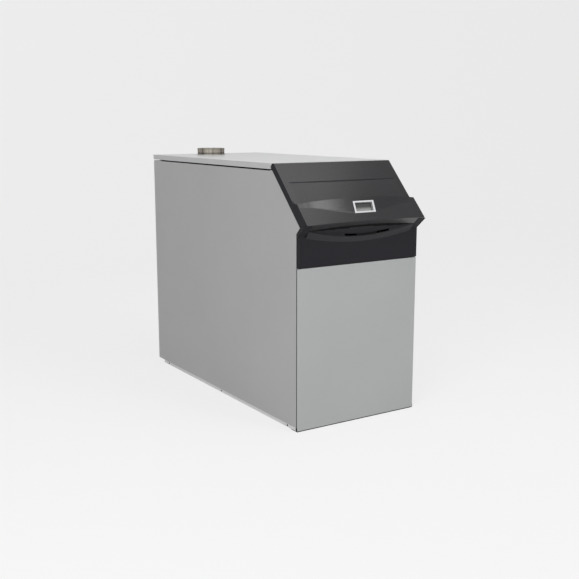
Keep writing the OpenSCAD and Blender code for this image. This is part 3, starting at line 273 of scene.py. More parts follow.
# %% brushed metals
def brushed(title, colour, squeeze, roughness=0.3, lines=1.0):
    f = Finish(title, metallic=1.0)
    streaks = f.noise(1.0, 3.0, f.stretched(squeeze))
    stain = f.noise(11.0, 3.0)
    f.give(Base_Color=f.blend(tinted(colour, 0.86), tinted(colour, 1.06), streaks * 0.6 + stain * 0.4))
    f.give(Roughness=roughness - 0.08 + 0.2 * streaks)
    return f.bump(streaks, 0.12 * lines, 0.0002)


def cast_metal(title, colour, metallic=0.9, roughness=0.5, grit=330.0):
    f = Finish(title, metallic=metallic)
    sand = f.noise(grit, 5.0)
    stain = f.noise(7.0, 4.0, distortion=0.6)
    f.give(Base_Color=f.blend(tinted(colour, 0.74), tinted(colour, 1.08), stain * 0.7 + sand * 0.3))
    f.give(Roughness=roughness - 0.1 + 0.22 * sand)
    return f.bump(sand, 0.5, 0.0006)


FINISHES.update({
    "bright_steel": brushed("bright_steel", shade(188, 190, 193), (260.0, 260.0, 900.0)),
    "cast": cast_metal("cast", shade(180, 181, 178)),
    "pipe_steel": cast_metal(
        "pipe_steel", shade(112, 112, 110), metallic=0.6, roughness=0.48, grit=180.0),
    "brass": brushed("brass", shade(206, 172, 92), (500.0, 500.0, 500.0), roughness=0.24, lines=0.4),
})
print(len(FINISHES), "finishes so far")

# %% [markdown]
# The flue collar is thin stainless sheet, rolled into a ring. Its brushing runs
# round the ring, it is warm rather than blue, and a few upright heat marks are
# left by the rolling. The angle round the flue's centre comes from the
# arctangent of the position, which works on any ring without unwrapping it. The
# groove near the cover is darkened by its height: painted shade in the groove.

# %% rolled stainless
FLUE_X, FLUE_Y = -0.030, 0.6601
GROOVE_Z, GROOVE_HALF = 1.245, 0.0024


def rolled_stainless():
    f = Finish("stainless", metallic=1.0)
    axes = f.node("ShaderNodeSeparateXYZ", None, {"Vector": f.place()})
    x, y, z = (Channel(f, axes.socket.node.outputs[i]) for i in range(3))
    angle = (x - FLUE_X).maths("ARCTAN2", y - FLUE_Y)
    ring = f.node("ShaderNodeCombineXYZ", None, {"X": angle * 3.0, "Y": z * 900.0, "Z": 0.0})
    lines = f.noise(1.0, 3.0, ring)
    upright = f.node("ShaderNodeCombineXYZ", None, {"X": angle * 9.0, "Y": z * 2.0, "Z": 0.3})
    marks = f.noise(1.0, 1.0, upright).above(0.62, 0.03)
    # painted shade: a dark band at the height of the groove
    groove_shade = 1 - (z - GROOVE_Z).maths("ABSOLUTE").above(GROOVE_HALF, 0.0008)
    warm = f.blend(shade(160, 154, 144), shade(194, 189, 179), lines)
    shaded = f.blend(warm, shade(84, 79, 72), marks * 0.8)
    f.give(Base_Color=f.blend(shaded, shade(58, 54, 48), groove_shade * 0.85))
    f.give(Roughness=0.5 + 0.16 * lines)
    return f.bump(lines, 0.1, 0.0002)


FINISHES["stainless"] = rolled_stainless()
print("rolled stainless made")

# %% [markdown]
# The display behind the window is a switched-off liquid crystal panel: a grey
# green with a faint grid of dots. The pane over it is smoked plastic that hides
# what is behind it. Its colour follows the height of the pane: dark towards its
# top as painted shade, where the hood shades it, and pale in its lower part as
# painted light.


# %% display and pane
def dot_panel():
    f = Finish("screen", roughness=0.25)
    even = {"Vector": f.place(), "Scale": 1400.0, "Randomness": 0.0}
    dots = f.node("ShaderNodeTexVoronoi", None, even)
    grid = dots.above(0.42, 0.06)
    base = f.blend(shade(88, 95, 87), shade(76, 83, 76), grid)
    f.give(Base_Color=f.blend(base, shade(68, 74, 68), f.noise(30.0, 2.0) * 0.5))
    return f.bump(dots, 0.02, 0.0001)


PAINTED_LIGHT_BELOW = 1.0297


def tinted_pane():
    f = Finish("lens", roughness=0.12, IOR=1.49, Coat_Weight=0.5)
    # painted light: the pane is pale below a given height, and dark above it as painted shade
    low = 1 - f.height().above(PAINTED_LIGHT_BELOW, 0.006)
    smoked = f.blend(shade(66, 68, 66), shade(76, 78, 76), f.noise(22.0, 2.0))
    f.give(Base_Color=f.blend(smoked, shade(156, 157, 155), low))
    f.give(Roughness=0.08 + 0.08 * f.noise(60.0, 2.0))
    return f.material


FINISHES["screen"] = dot_panel()
FINISHES["lens"] = tinted_pane()
missing = sorted(set(slot_of_node.values()) - set(FINISHES))
print("slots without a finish:", missing)

# %% [markdown]
# Every solid now gets the finish of its slot. A solid whose shape is right stays
# as it is; the ones that need softer edges or a finer form are replaced later,
# and take their finish from the same table.


# %% finish for each solid
def give_finish(obj, slot):
    obj.data.materials.clear()
    obj.data.materials.append(FINISHES[slot])


for name, solid in nodes.items():
    give_finish(solid, slot_of_node[name])
print("finished", len(nodes), "solids")

# %% [markdown]
# Folded sheet metal has no razor edges: a fold has a radius about as large as
# the sheet is thick, and the coat rounds it further. Each casing panel is taken
# from its solid, its flat faces are joined up, and its sharp edges get a small
# round. The modifier that weights normals by area then keeps the big faces flat.
# A round that is wider than the sheet is thick can throw a corner far out of the
# piece, so each copy is measured against its solid. The cheeks of the console get
# a matt finish. The side edges of the top cover get a darker copy of the cover's
# paint, as painted shade on faces that turn away from the light.

# %% soft-edged copies
FINE = 1e-6


def smooth_with_creases(mesh, angle=38):
    made = bmesh.new()
    made.from_mesh(mesh)
    for face in made.faces:
        face.smooth = True
    for edge in made.edges:
        edge.smooth = len(edge.link_faces) == 2 and edge.calc_face_angle(0) < math.radians(angle)
    made.to_mesh(mesh)
    made.free()


def weighted(obj):
    modifier = obj.modifiers.new("weighted_normals", "WEIGHTED_NORMAL")
    modifier.keep_sharp = True
    return obj


def reach(mesh):
    """The lowest and highest corner of a mesh, in millimetres."""
    return [
        [round(pick(v.co[i] for v in mesh.vertices) * 1000, 1) for i in range(3)]
        for pick in (min, max)
    ]


def rounded(made, radius, segments, angle):
    sharp = [
        e for e in made.edges
        if len(e.link_faces) == 2 and e.calc_face_angle(0) > math.radians(angle)
    ]
    bmesh.ops.bevel(
        made, geom=sharp, offset=radius, segments=segments, profile=0.5,
        affect="EDGES", clamp_overlap=True,
    )


def as_piece(title, mesh, slot, body, *replaced):
    obj = bpy.data.objects.new(title, mesh)
    bpy.context.scene.collection.objects.link(obj)
    give_finish(obj, slot)
    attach(obj, body)
    if replaced:
        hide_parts(*replaced)
    return obj


def soften(node, radius, segments=2, angle=40):
    mesh = bpy.data.meshes.new(node + "_soft")
    made = bmesh.new()
    made.from_mesh(nodes[node].data)
    bmesh.ops.remove_doubles(made, verts=made.verts, dist=FINE)
    bmesh.ops.dissolve_limit(
        made, angle_limit=math.radians(0.4), verts=made.verts, edges=made.edges,
    )
    rounded(made, radius, segments, angle)
    made.to_mesh(mesh)
    made.free()
    smooth_with_creases(mesh)
    piece = as_piece(node + "_soft", mesh, slot_of_node[node], body_of_node[node], node)
    return weighted(piece)


def second_finish(obj, slot, chosen):
    """Gives the faces whose centre, in metres, is chosen a finish of their own."""
    obj.data.materials.append(FINISHES[slot])
    for face in obj.data.polygons:
        if chosen(face.center):
            face.material_index = len(obj.data.materials) - 1


SOFT_EDGES = {
    "side_panel_left": 0.0005, "side_panel_right": 0.0005,
    "front_panel": 0.0005, "top_cover": 0.0005,
    "base_rail_left": 0.0004, "base_rail_right": 0.0004,
    "cheek_left": 0.0003, "cheek_right": 0.0003,
    "knob_heating": 0.0006, "knob_water": 0.0006,
    "main_switch": 0.0006, "latch_tab": 0.0008,
    "front_sill": 0.0005, "drain_lever": 0.0006,
}
EDGE_DEEP, EDGE_X = 0.0008, 0.349
soft = {}
for name, radius in SOFT_EDGES.items():
    piece = soft[name] = soften(name, radius)
    dressed_box, solid_box = (sum(reach(mesh), []) for mesh in (piece.data, nodes[name].data))
    grown = max(abs(a - b) for a, b in zip(dressed_box, solid_box))
    print(piece.name, len(piece.data.polygons), "faces, box off by", round(grown, 1), "mm")
for side in ("left", "right"):
    give_finish(soft["cheek_" + side], "console_end")
cover_top = reach(soft["top_cover"].data)[1][2] / 1000
# painted shade: the cover's side edges get a darker copy of its paint
second_finish(
    soft["top_cover"], "cover_edge", lambda c: c.z < cover_top - EDGE_DEEP and abs(c.x) > EDGE_X)
print("edge of the cover below", round(cover_top, 4), "m has its own finish")

# %% [markdown]
# The camera looks at the console, so it gets its own finer form. It is a loft: a
# section through the flap is worked out at many places across its width, and the
# sections are joined by a skin. The hood rises over the display towards the
# middle and the lower edge of its face bows down like a smile. The same measures
# as in the solids are used, so the two agree; only the steps are finer.

# %% measures of the console
SLANT = math.radians(46.3)
UNDER = math.radians(40)
CORNER = Vector((215.0, 1236.0))
BODY_D, PIPE_REACH, HALF_W = 1526.0, 60.0, 350.0
SLOPE_LEN, VISOR_RISE, HOOD_RISE, VISOR_START = 384.0, 22.0, 27.0, 259.0
STRIP_RISE, FACE_HALF, LIP_HALF, MOULD = 20.0, 340.0, 305.0, 4.0
SMILE_MID, SMILE_END, CREASE_S, CREASE_D, CREASE_HALF = 331.0, 283.0, 119.0, 3.0, 310.0
AXIS = Vector((226.0, 1231.0))
BEAD = 5.0
BEAD_STEPS = 9
CHIN_DIP = 7.0
LIP_END, LIP_MID = 49.0, 33.0


def slope_pt(s, n):
    """The point a distance s down the slope and n out of it, as (depth, height)."""
    back = -s * math.cos(SLANT) - n * math.sin(SLANT)
    up = -s * math.sin(SLANT) + n * math.cos(SLANT)
    return CORNER + Vector((back, up))


CHIN_END = slope_pt(SLOPE_LEN, VISOR_RISE)
UNDER_Z = CHIN_END.y + CHIN_END.x * math.tan(UNDER)
FRONT_Y = (-CHIN_END.x - BODY_D - PIPE_REACH) / 2


def in_place(x, point):
    return Vector((x, point.x + FRONT_Y, point.y)) / 1000


def crown(x, half):
    return 0.0 if abs(x) >= half else 1 - (x / half) ** 2


def wave(x, half):
    return 0.0 if abs(x) >= half else (1 + math.cos(math.pi * x / half)) / 2


def mix(a, b, t):
    return a + (b - a) * t


print("front face at y =", round(FRONT_Y, 3), "mm, underside starts at z =", round(UNDER_Z, 1), "mm")

# %% [markdown]
# A section is a list of points, each with a depth and a height. The outer line
# runs from the bead at the hinge down the slope, over the hood and the face to the
# lip. The inner line follows it one wall deeper, with the same count of points, so
# that neighbouring sections can be joined point by point.


# %% sections of the flap
def chin(x):
    return slope_pt(SLOPE_LEN - CHIN_DIP * crown(x, FACE_HALF), VISOR_RISE)


def lip_w(x):
    return mix(LIP_END, LIP_MID, crown(x, LIP_HALF + MOULD))


def under_pt(x, w, lift=0.0):
    along = Vector((math.cos(UNDER), -math.sin(UNDER)))
    up = Vector((math.sin(UNDER), math.cos(UNDER)))
    return chin(x) + along * w + up * lift


def crease_depth(x):
    return CREASE_D * (1 - min(1.0, abs(x) / CREASE_HALF) ** 4)


def hood_n(x):
    return VISOR_RISE + HOOD_RISE * crown(x, FACE_HALF)


def hood_foot(x):
    n = hood_n(x) + crease_depth(x)
    return slope_pt(VISOR_START - n / math.tan(SLANT + math.radians(12)), -crease_depth(x))


def smile(x):
    return slope_pt(mix(SMILE_END, SMILE_MID, wave(x, FACE_HALF)), VISOR_RISE)


def lip_of(x):
    return MOULD if abs(x) > LIP_HALF else lip_w(x)


def flap_outer(x):
    d, edge, foot = crease_depth(x), slope_pt(VISOR_START, hood_n(x)), hood_foot(x)
    turns = (math.radians(-90 + 22.5 * i) for i in range(BEAD_STEPS))
    bead = [Vector((math.cos(a), math.sin(a))) * BEAD + AXIS for a in turns]
    return bead + [
        slope_pt(0, 0), slope_pt(CREASE_S - 5.5, 0), slope_pt(CREASE_S - 4, -0.1 * d / 2),
        slope_pt(CREASE_S + 1, -d * 0.92), slope_pt(CREASE_S + 2.5, -d), foot,
        mix(foot, edge, 0.94), edge, mix(edge, smile(x), 0.08), mix(edge, smile(x), 0.93), smile(x),
        mix(smile(x), chin(x), 0.08), mix(smile(x), chin(x), 0.95), chin(x), under_pt(x, lip_of(x)),
    ]


def flap_inner(x, count):
    drop = Vector((math.sin(SLANT), -math.cos(SLANT))) * MOULD
    edge, foot, d = slope_pt(VISOR_START, hood_n(x)), hood_foot(x), crease_depth(x)
    line = [
        AXIS + Vector((-MOULD, -BEAD)), slope_pt(MOULD, -MOULD), slope_pt(CREASE_S - 4, -MOULD),
        slope_pt(CREASE_S + 2, -d - MOULD), foot + drop, mix(foot, edge, 0.9) + drop,
        mix(edge, smile(x), 0.04) + drop, smile(x) + drop, mix(smile(x), chin(x), 0.9) + drop,
        under_pt(x, MOULD, MOULD) + Vector((-math.sin(SLANT) / 2, math.cos(SLANT) / 2)) * MOULD,
        under_pt(x, lip_of(x), MOULD),
    ]
    return resampled(line, count)


def resampled(line, count):
    """The corners of a line and points between them, so that every section has the same count."""
    extra = count - len(line)
    lengths = [(b - a).length for a, b in zip(line, line[1:])]
    shares = [0] * len(lengths)
    for _ in range(extra):
        longest = max(range(len(lengths)), key=lambda i: LAYOUT[i] / (shares[i] + 1))
        shares[longest] += 1
    points = []
    for i, (a, b) in enumerate(zip(line, line[1:])):
        points += [mix(a, b, k / (shares[i] + 1)) for k in range(shares[i] + 1)]
    return points + [line[-1]]


LAYOUT = [4, 80, 6, 120, 30, 4, 60, 40, 10, 30]
print("section of", len(flap_outer(0)), "points")

# %% [markdown]
# The two ends of the flap are closed by skirts that slope down to the casing.
# Each point of the section gets its own partner on a straight lower line, so the
# same skin can run from the full section to the thin edge without a seam.


# %% ends of the flap
def along_slope(point):
    away = point - CORNER
    return -(away.x * math.cos(SLANT) + away.y * math.sin(SLANT))


def flap_skirt(outer):
    points = []
    low_n = 0.3 - STRIP_RISE
    for i, p in enumerate(outer):
        if i < BEAD_STEPS:
            points.append(AXIS + Vector((-MOULD / 3 - i * MOULD / 10, -BEAD - MOULD)))
        else:
            s = min(max(along_slope(p), 10.0 + i * 0.1), SLOPE_LEN - VISOR_RISE - (len(outer) - i) * 0.5)
            points.append(slope_pt(s, low_n))
    return points


def section(x, outer, lower):
    return [in_place(x, p) for p in outer + lower[::-1]]


def loft(title, rings):
    """A closed skin through rings of points that all have the same count."""
    made = bmesh.new()
    rows = [[made.verts.new(p) for p in ring] for ring in rings]
    for a, b in zip(rows, rows[1:]):
        for j in range(len(a)):
            k = (j + 1) % len(a)
            made.faces.new((a[j], a[k], b[k], b[j]))
    made.faces.new(rows[0])
    made.faces.new(rows[-1][::-1])
    bmesh.ops.remove_doubles(made, verts=made.verts, dist=FINE)
    bmesh.ops.recalc_face_normals(made, faces=made.faces)
    mesh = bpy.data.meshes.new(title)
    made.to_mesh(mesh)
    made.free()
    return mesh


STATIONS = 96
LIP_STEP = 0.6
WALL_X = FACE_HALF - MOULD
outer_end = flap_outer(FACE_HALF)
skirt = flap_skirt(outer_end)
thin_edge = [mix(a, b, 0.86) for a, b in zip(outer_end, skirt)]
count = len(outer_end)


def plain(x):
    return section(x, flap_outer(x), flap_inner(x, count))


def end_rings(side):
    return [
        section(side * HALF_W, thin_edge, skirt), section(side * FACE_HALF, outer_end, skirt),
        section(side * (WALL_X + 0.3), outer_end, skirt), plain(side * WALL_X),
        plain(side * (LIP_HALF + LIP_STEP)),
    ]


inner_rings = [plain(LIP_HALF * (2 * i / STATIONS - 1)) for i in range(STATIONS + 1)]
flap_mesh = loft("console_flap", end_rings(-1) + inner_rings + end_rings(1)[::-1])
print("flap skin:", len(flap_mesh.polygons), "faces")

# %% [markdown]
# The display looks out through a window in the hood. A Boolean modifier cuts it
# with a box that is laid in the plane of the hood's face, and two more boxes make
# room for the hinges. The cut is applied at once, so the piece that is left is a
# plain mesh whose new edges can be rounded like all the others. The skirts at the
# ends are matt and darker. The wall of the crease gets the darker fascia finish as
# painted shade, the shade that gathers in the crease.

# %% boxes and cuts
HOOD_TILT = math.atan(HOOD_RISE / (SMILE_MID - VISOR_START))
WINDOW_S = (SMILE_MID + VISOR_START) / 2 + 9
WINDOW_N = VISOR_RISE + HOOD_RISE * (SMILE_MID - WINDOW_S) / (SMILE_MID - VISOR_START)
DISPLAY_X, FRAME_W, FRAME_H, RIM, RIM_TALL = 10.0, 120.0, 58.0, 10.5, 8.0
HINGE_X, HINGE_HALF, HOLE_DEEP = 300, 9.9, 14
window_place = Matrix.Translation(in_place(DISPLAY_X, slope_pt(WINDOW_S, WINDOW_N)))
window_plane = window_place @ Matrix.Rotation(SLANT + HOOD_TILT, 4, "X")


def slab(low, high, place=None):
    """The mesh of a box between two corners in millimetres, laid in a place."""
    made = bmesh.new()
    bmesh.ops.create_cube(made, size=1.0)
    low, high = Vector(low) / 1000, Vector(high) / 1000
    for v in made.verts:
        v.co = Vector((mix(low[i], high[i], v.co[i] + 0.5) for i in range(3)))
    if place:
        bmesh.ops.transform(made, matrix=place, verts=made.verts)
    mesh = bpy.data.meshes.new("slab")
    made.to_mesh(mesh)
    made.free()
    return mesh


def cut(mesh, cutters):
    body = bpy.data.objects.new("being_cut", mesh)
    bpy.context.scene.collection.objects.link(body)
    tools = []
    for cutter in cutters:
        tool = bpy.data.objects.new("cutter", cutter)
        bpy.context.scene.collection.objects.link(tool)
        modifier = body.modifiers.new("cut", "BOOLEAN")
        modifier.operation, modifier.solver, modifier.object = "DIFFERENCE", "EXACT", tool
        tools.append(tool)
    bpy.context.view_layer.update()
    graph = bpy.context.evaluated_depsgraph_get()
    result = bpy.data.meshes.new_from_object(body.evaluated_get(graph))
    for obj in tools + [body]:
        bpy.data.objects.remove(obj)
    return result


def edge_rounded(mesh, radius, segments=2, angle=28):
    made = bmesh.new()
    made.from_mesh(mesh)
    bmesh.ops.remove_doubles(made, verts=made.verts, dist=FINE)
    rounded(made, radius, segments, angle)
    made.to_mesh(mesh)
    made.free()
    smooth_with_creases(mesh)
    return mesh


hole_w, hole_h = FRAME_W / 2 - 2, FRAME_H / 2 - 2
hole = slab((-hole_w, -hole_h, -HOLE_DEEP), (hole_w, hole_h, HOLE_DEEP), window_plane)
notches = []
for side in (-1, 1):
    low = in_place(side * HINGE_X - HINGE_HALF, AXIS + Vector((-9, -15))) * 1000
    high = in_place(side * HINGE_X + HINGE_HALF, AXIS + Vector((10, 10))) * 1000
    notches.append(slab(low, high))
flap_mesh = edge_rounded(cut(flap_mesh, [hole] + notches), 0.0009)
flap_piece = weighted(as_piece("console_flap", flap_mesh, "console_dark", "flap", "flap"))
second_finish(flap_piece, "console_end", lambda c: abs(c.x) > (FACE_HALF + 0.1) / 1000)


def in_crease_shade(c):
    s = along_slope(Vector((c.y * 1000 - FRONT_Y, c.z * 1000)))
    return abs(c.x) * 1000 < CREASE_HALF and CREASE_S - 4.5 < s < CREASE_S + 1.5


# painted shade: the wall of the crease gets the darker fascia finish
second_finish(flap_piece, "fascia_dark", in_crease_shade)
print("flap with its window:", len(flap_mesh.polygons), "faces, reach", reach(flap_mesh))

# %% [markdown]
# Below the flap sits the fascia with a scooped mouth for the fingers. It is the
# same kind of loft, with a Bezier curve for the scoop. A slot that follows the
# lower lip is cut with a bent bar, and the latch tab fills its middle, so that two
# short dark slots are left. The band round the mouth is a shade lighter. The top of
# the scoop, where the lip comes to rest, lies in the shade under the lip and gets
# the black rubber finish as painted shadow.


# %% fascia with its mouth
FASCIA_Z = CORNER.y - 461
FASCIA_DIP, MOUTH_OUT, MOUTH_DROP, SCOOP_IN = 42, 13.0, 18, 24
LIP_GAP = 2.5
SCOOP_STEPS = 14
SLOT_MID, SLOT_HALF, SLOT_STEPS = 35, 130, 26
LIP_SHADOW_REACH = 13.0


def fascia_front(x):
    return Vector((0.0, UNDER_Z - FASCIA_DIP * crown(x, HALF_W)))


def mouth_low(x):
    middle_pt = Vector((-MOUTH_OUT, UNDER_Z - MOUTH_DROP))
    return mix(under_pt(x, LIP_END + LIP_GAP), middle_pt, crown(x, LIP_HALF + MOULD))


def bezier(a, b, c, t):
    return mix(mix(a, b, t), mix(b, c, t), t)


def fascia_ring(x):
    front, low = fascia_front(x), mouth_low(x)
    high = under_pt(x, lip_w(x) - LIP_GAP, MOULD + LIP_GAP)
    pull = (low + high) / 2 + Vector((SCOOP_IN * crown(x, LIP_HALF + MOULD) + MOULD, 0))
    scoop = [bezier(low, pull, high, i / SCOOP_STEPS) for i in range(SCOOP_STEPS + 1)]
    back = [p + Vector((MOULD, MOULD / 4 * (1 - i / SCOOP_STEPS))) for i, p in enumerate(scoop)][::-1]
    shape = [Vector((0, FASCIA_Z)), front] + scoop + back
    shape += [Vector((MOULD, front.y)), Vector((MOULD, FASCIA_Z))]
    return [in_place(x, p) for p in shape]


def fascia_end(x):
    top = UNDER_Z - 0.3
    n = 2 * SCOOP_STEPS + 2
    shape = [Vector((0, FASCIA_Z)), Vector((0, top))]
    shape += [Vector((MOULD * i / (n + 1), top)) for i in range(1, n + 1)]
    shape += [Vector((MOULD, top)), Vector((MOULD, FASCIA_Z))]
    return [in_place(x, p) for p in shape]


fascia_half = HALF_W - 20.3
middle = [fascia_ring(LIP_HALF * (2 * i / STATIONS - 1)) for i in range(STATIONS + 1)]
ends = [[fascia_end(side * fascia_half), fascia_end(side * (LIP_HALF + LIP_STEP))] for side in (-1, 1)]
fascia_mesh = loft("console_fascia", ends[0] + middle + ends[1][::-1])
slot_bar = loft("slot_bar", [
    [in_place(x, mouth_low(x) + Vector(corner)) for corner in ((2, 2), (48, 2), (48, 14), (2, 14))]
    for x in (SLOT_MID - SLOT_HALF + 2 * SLOT_HALF * i / SLOT_STEPS for i in range(SLOT_STEPS + 1))
])
fascia_mesh = edge_rounded(cut(fascia_mesh, [slot_bar]), 0.0006)
fascia_piece = weighted(as_piece("console_fascia", fascia_mesh, "fascia_dark", "casing", "fascia"))


def in_band(c):
    x, y = c.x * 1000, c.y * 1000 - FRONT_Y
    low = mouth_low(x)
    return abs(x) < LIP_HALF and low.x - 0.5 < y < -0.5 and c.z * 1000 <= low.y + 0.5


def in_lip_shadow(c):
    x = c.x * 1000
    lip_z = under_pt(x, lip_w(x)).y
    return abs(x) < LIP_HALF and c.z * 1000 > lip_z - min(LIP_SHADOW_REACH, 0.35 * (lip_z - mouth_low(x).y))


second_finish(fascia_piece, "mouth_band", in_band)
# painted shadow: the top of the scoop under the lip gets the black rubber finish
second_finish(fascia_piece, "seal_rubber", in_lip_shadow)
print("fascia:", len(fascia_mesh.polygons), "faces, reach", reach(fascia_mesh))

# %% [markdown]
# The display's window has a silver frame, a lining that goes down into the hood,
# black with a silver band, and the pane at the bottom of it. Rings like these
# come from rectangles at several depths, joined by strips of faces.


# %% window frame, lining and pane
def ring_mesh(title, levels, place):
    """A closed ring from (half width, half height, depth) rectangles that go once round its section."""
    made = bmesh.new()
    rows = []
    for w, h, z in levels:
        corners = ((-w, -h), (w, -h), (w, h), (-w, h))
        rows.append([made.verts.new(place @ (Vector((x, y, z)) / 1000)) for x, y in corners])
    for a, b in zip(rows, rows[1:] + rows[:1]):
        for j in range(4):
            made.faces.new((a[j], a[(j + 1) % 4], b[(j + 1) % 4], b[j]))
    bmesh.ops.recalc_face_normals(made, faces=made.faces)
    mesh = bpy.data.meshes.new(title)
    made.to_mesh(mesh)
    made.free()
    return mesh


half_frame, half_tall = FRAME_W / 2, FRAME_H / 2
SILVER_TOP, SILVER_FOOT, LINING_FOOT = -4.6, -8.0, -11.8
PANE_TOP, PANE_FOOT = -11.9, -13.9
inner_w, inner_h = half_frame - RIM, half_tall - RIM_TALL
frame_ring = ring_mesh("window_frame", [
    (half_frame, half_tall, 0.3), (half_frame, half_tall, 1.2),
    (half_frame - 0.8, half_tall - 0.8, 1.8), (inner_w + 1, inner_h + 1, 1.2),
    (inner_w, inner_h, 0.0), (inner_w, inner_h, -2.0),
    (half_frame - 2.5, half_tall - 2.5, -2.0), (half_frame - 2.5, half_tall - 2.5, 0.3),
], window_plane)
frame_ring = edge_rounded(frame_ring, 0.0004)
weighted(as_piece("window_bezel", frame_ring, "frame_silver", "flap", "window_frame"))
lining = ring_mesh("window_lining", [
    (inner_w - 0.1, inner_h - 0.1, -0.6), (inner_w - 0.6, inner_h - 0.6, SILVER_TOP),
    (inner_w - 1.0, inner_h - 1.0, SILVER_FOOT), (inner_w - 1.6, inner_h - 1.6, LINING_FOOT),
    (half_frame - 3, half_tall - 3, LINING_FOOT), (half_frame - 3, half_tall - 3, -2.3),
    (inner_w + 0.6, inner_h + 0.6, -2.3), (inner_w + 0.6, inner_h + 0.6, -0.6),
], window_plane)
lining_piece = as_piece("window_lining", edge_rounded(lining, 0.0002), "trim_black", "flap")
to_window = window_plane.inverted()


def in_silver(c):
    at = (to_window @ c) * 1000
    deep = SILVER_FOOT + 0.1 < at.z < SILVER_TOP - 0.1
    return deep and abs(at.x) < inner_w and abs(at.y) < inner_h


second_finish(lining_piece, "knob_silver", in_silver)
pane = slab(
    (-half_frame + 3, -half_tall + 3, PANE_FOOT), (half_frame - 3, half_tall - 3, PANE_TOP), window_plane)
weighted(as_piece("window_pane", edge_rounded(pane, 0.0003), "lens", "flap", "window_lens"))
print("window made of 3 pieces")

# %% [markdown]
# The gaps between the casing panels are filled with soft black strips, as painted
# shadow in the gaps. They show as the thin dark lines that make the panels read as
# separate sheets: one upright on each side of the door and one under each side edge
# of the top cover. The one under the cover laps a little over the sheet and ends
# before the rear, as in the photograph. A black cap closes the front end of each
# base rail.


# %% black strips as painted shadow in the gaps
def strip(title, x0, x1, y0, y1, z0, z1):
    corners = sorted((x0, x1))
    low = in_place(corners[0], Vector((y0, z0))) * 1000
    high = in_place(corners[1], Vector((y1, z1))) * 1000
    as_piece(title, edge_rounded(slab(low, high), 0.0004), "seal_rubber", "casing")


DOOR_GAP, PROUD = 4, 350.4
DOOR_TOP = FASCIA_Z - DOOR_GAP
for side, word in ((-1, "left"), (1, "right")):
    # painted shadow: black strips in the gaps beside the door and under the cover
    strip("door_gap_shadow_" + word, side * 335, side * 349.4, 5.3, 7.7, 21, DOOR_TOP)
    strip("cover_gap_shadow_" + word, side * 338, side * PROUD, 234, BODY_D - 109, 1202.8, 1209.8)
    strip("rail_cap_" + word, side * 349.8, side * PROUD, 0.8, 10.5, 5.6, 20.4)
print("4 strips in the gaps and 2 caps on the base rails")

# %% [markdown]
# Screws are small, but a black dot alone looks painted on. Each base screw gets
# a head with a rounded rim and a socket pressed into it.


# %% heads of the base screws
def turned(title, profile, place, steps=32):
    """A turned piece: (radius, height) points spun round the Z axis of a place, in millimetres."""
    made = bmesh.new()
    rows = []
    for r, z in profile:
        rows.append([
            made.verts.new(place @ (Vector((r * math.cos(a), r * math.sin(a), z)) / 1000))
            for a in (2 * math.pi * k / steps for k in range(steps))
        ])
    for a, b in zip(rows, rows[1:]):
        for j in range(steps):
            k = (j + 1) % steps
            made.faces.new((a[j], a[k], b[k], b[j]))
    made.faces.new(rows[0][::-1])
    made.faces.new(rows[-1])
    bmesh.ops.remove_doubles(made, verts=made.verts, dist=FINE)
    bmesh.ops.recalc_face_normals(made, faces=made.faces)
    mesh = bpy.data.meshes.new(title)
    made.to_mesh(mesh)
    made.free()
    smooth_with_creases(mesh)
    return mesh


RAIL_FRONT, RAIL_REAR, SCREW_Z = 24.0, BODY_D - 78, 12.45
SCREW_LEAD, SCREW_TAIL = 58, 60
screw_y = [RAIL_FRONT + SCREW_LEAD, (RAIL_FRONT + RAIL_REAR) / 2, RAIL_REAR - SCREW_TAIL]
head = [
    (1.6, -1.3), (1.6, -0.5), (2.0, -0.15), (4.7, -0.05),
    (5.1, -0.4), (5.1, -1.4), (2.5, -1.5), (2.5, -11.8),
]
heads = []
for side in (-1, 1):
    for y in screw_y:
        place = Matrix.Translation(in_place(side * HALF_W, Vector((y, SCREW_Z))))
        place = place @ Matrix.Rotation(side * math.pi / 2, 4, "Y")
        heads.append(turned("base_screw", head, place))
joined = bmesh.new()
for mesh in heads:
    joined.from_mesh(mesh)
screws_mesh = bpy.data.meshes.new("base_screws")
joined.to_mesh(screws_mesh)
joined.free()
weighted(as_piece("base_screws", screws_mesh, "trim_black", "casing", "panel_screws"))
print(len(heads), "screws")

# %% [markdown]
# The stage is a pale floor that bends up into a backdrop. The photograph shows
# the boiler cut out on light grey, with hardly any shadow. A plain diffuse floor
# would go grey in the far corners, so the camera and mirror-like rays see a fixed
# pale colour, mixed with a diffuse share that keeps a faint shadow. The world
# lights softly, and where the floor ends the camera sees it in the same pale tone.
# Large soft boxes do the rest: one from the left, one from the front, one whose
# reflection runs along the hood, and one above that grades the slope of the flap.

# %% floor, world and lamps
PALE = shade(247, 247, 247)
SHADOW_SHARE = 0.22
AMBIENT, BEYOND = 0.4, 0.86
BEND = 3


def stage_material():
    f = Finish("pale_floor", roughness=0.9)
    f.give(Base_Color=PALE)
    rays = f.node("ShaderNodeLightPath", out="Is Camera Ray")
    lights = rays.socket.node.outputs
    seen = rays.maths("MAXIMUM", Channel(f, lights["Is Glossy Ray"]))
    seen = seen.maths("MAXIMUM", Channel(f, lights["Is Transmission Ray"]))
    glow = f.node("ShaderNodeEmission", None, {"Color": PALE, "Strength": 1.0})
    mixed = f.node(
        "ShaderNodeMixShader", None,
        {0: seen * (1 - SHADOW_SHARE), 1: Channel(f, f.shader.outputs[0]), 2: glow},
    )
    f.tree.links.new(mixed.socket, f.tree.nodes["Material Output"].inputs["Surface"])
    return f.material


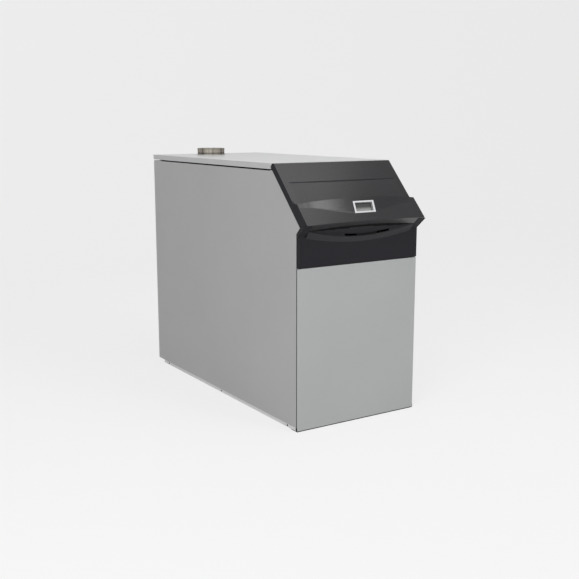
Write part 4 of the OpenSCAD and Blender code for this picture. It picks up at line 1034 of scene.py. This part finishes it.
floor_mesh = bpy.data.meshes.new("floor")
floor_shape = bmesh.new()
bend_angles = (math.radians(7.5 * i) for i in range(1, 13))
sweep = [(-9.0, 0.0), (4.0, 0.0)]
sweep += [(4.0 + BEND * math.sin(a), BEND - BEND * math.cos(a)) for a in bend_angles]
sweep += [(7.0, 12.0)]
rows = [[floor_shape.verts.new((x, y, z)) for x in (-14, 16)] for y, z in sweep]
for a, b in zip(rows, rows[1:]):
    floor_shape.faces.new((a[0], a[1], b[1], b[0]))
for face in floor_shape.faces:
    face.smooth = True
floor_shape.to_mesh(floor_mesh)
floor_shape.free()
floor = bpy.data.objects.new("floor", floor_mesh)
bpy.context.scene.collection.objects.link(floor)
floor_mesh.materials.append(stage_material())

world = bpy.data.worlds.new("studio")
world.use_nodes = True
sky = world.node_tree
ambient = sky.nodes["Background"]
ambient.inputs["Color"].default_value = (1.0, 1.0, 1.0, 1.0)
ambient.inputs["Strength"].default_value = AMBIENT
behind = sky.nodes.new("ShaderNodeBackground")
behind.inputs["Color"].default_value = PALE
behind.inputs["Strength"].default_value = BEYOND
either = sky.nodes.new("ShaderNodeMixShader")
sky.links.new(sky.nodes.new("ShaderNodeLightPath").outputs["Is Camera Ray"], either.inputs[0])
sky.links.new(ambient.outputs[0], either.inputs[1])
sky.links.new(behind.outputs[0], either.inputs[2])
sky.links.new(either.outputs[0], sky.nodes["World Output"].inputs["Surface"])
bpy.context.scene.world = world


def softbox(title, place, target, size, power):
    light = bpy.data.lights.new(title, "AREA")
    light.shape, light.size, light.size_y, light.energy = "RECTANGLE", size[0], size[1], power
    lamp = bpy.data.objects.new(title, light)
    lamp.location = place
    lamp.rotation_euler = (Vector(target) - Vector(place)).to_track_quat("-Z", "Y").to_euler()
    bpy.context.scene.collection.objects.link(lamp)


SOFT_BOXES = {
    "key_left": ((-4.2, -3.4, 3.0), (0, -0.4, 0.7), (2.6, 2.6), 136),
    "fill_front": ((1.5, -4.8, 3.3), (-0.2, -0.6, 0.9), (1.2, 2.2), 50),
    "hood_soft": ((1.7, -2.75, 4.0), (-0.3, -0.8, 1.05), (0.9, 1.3), 14),
    "top_soft": ((0.7, -0.9, 4.3), (-0.2, -0.4, 1.1), (1.5, 2.6), 15),
}
for title, setting in SOFT_BOXES.items():
    softbox(title, *setting)
print("stage set with", len(SOFT_BOXES), "soft boxes")
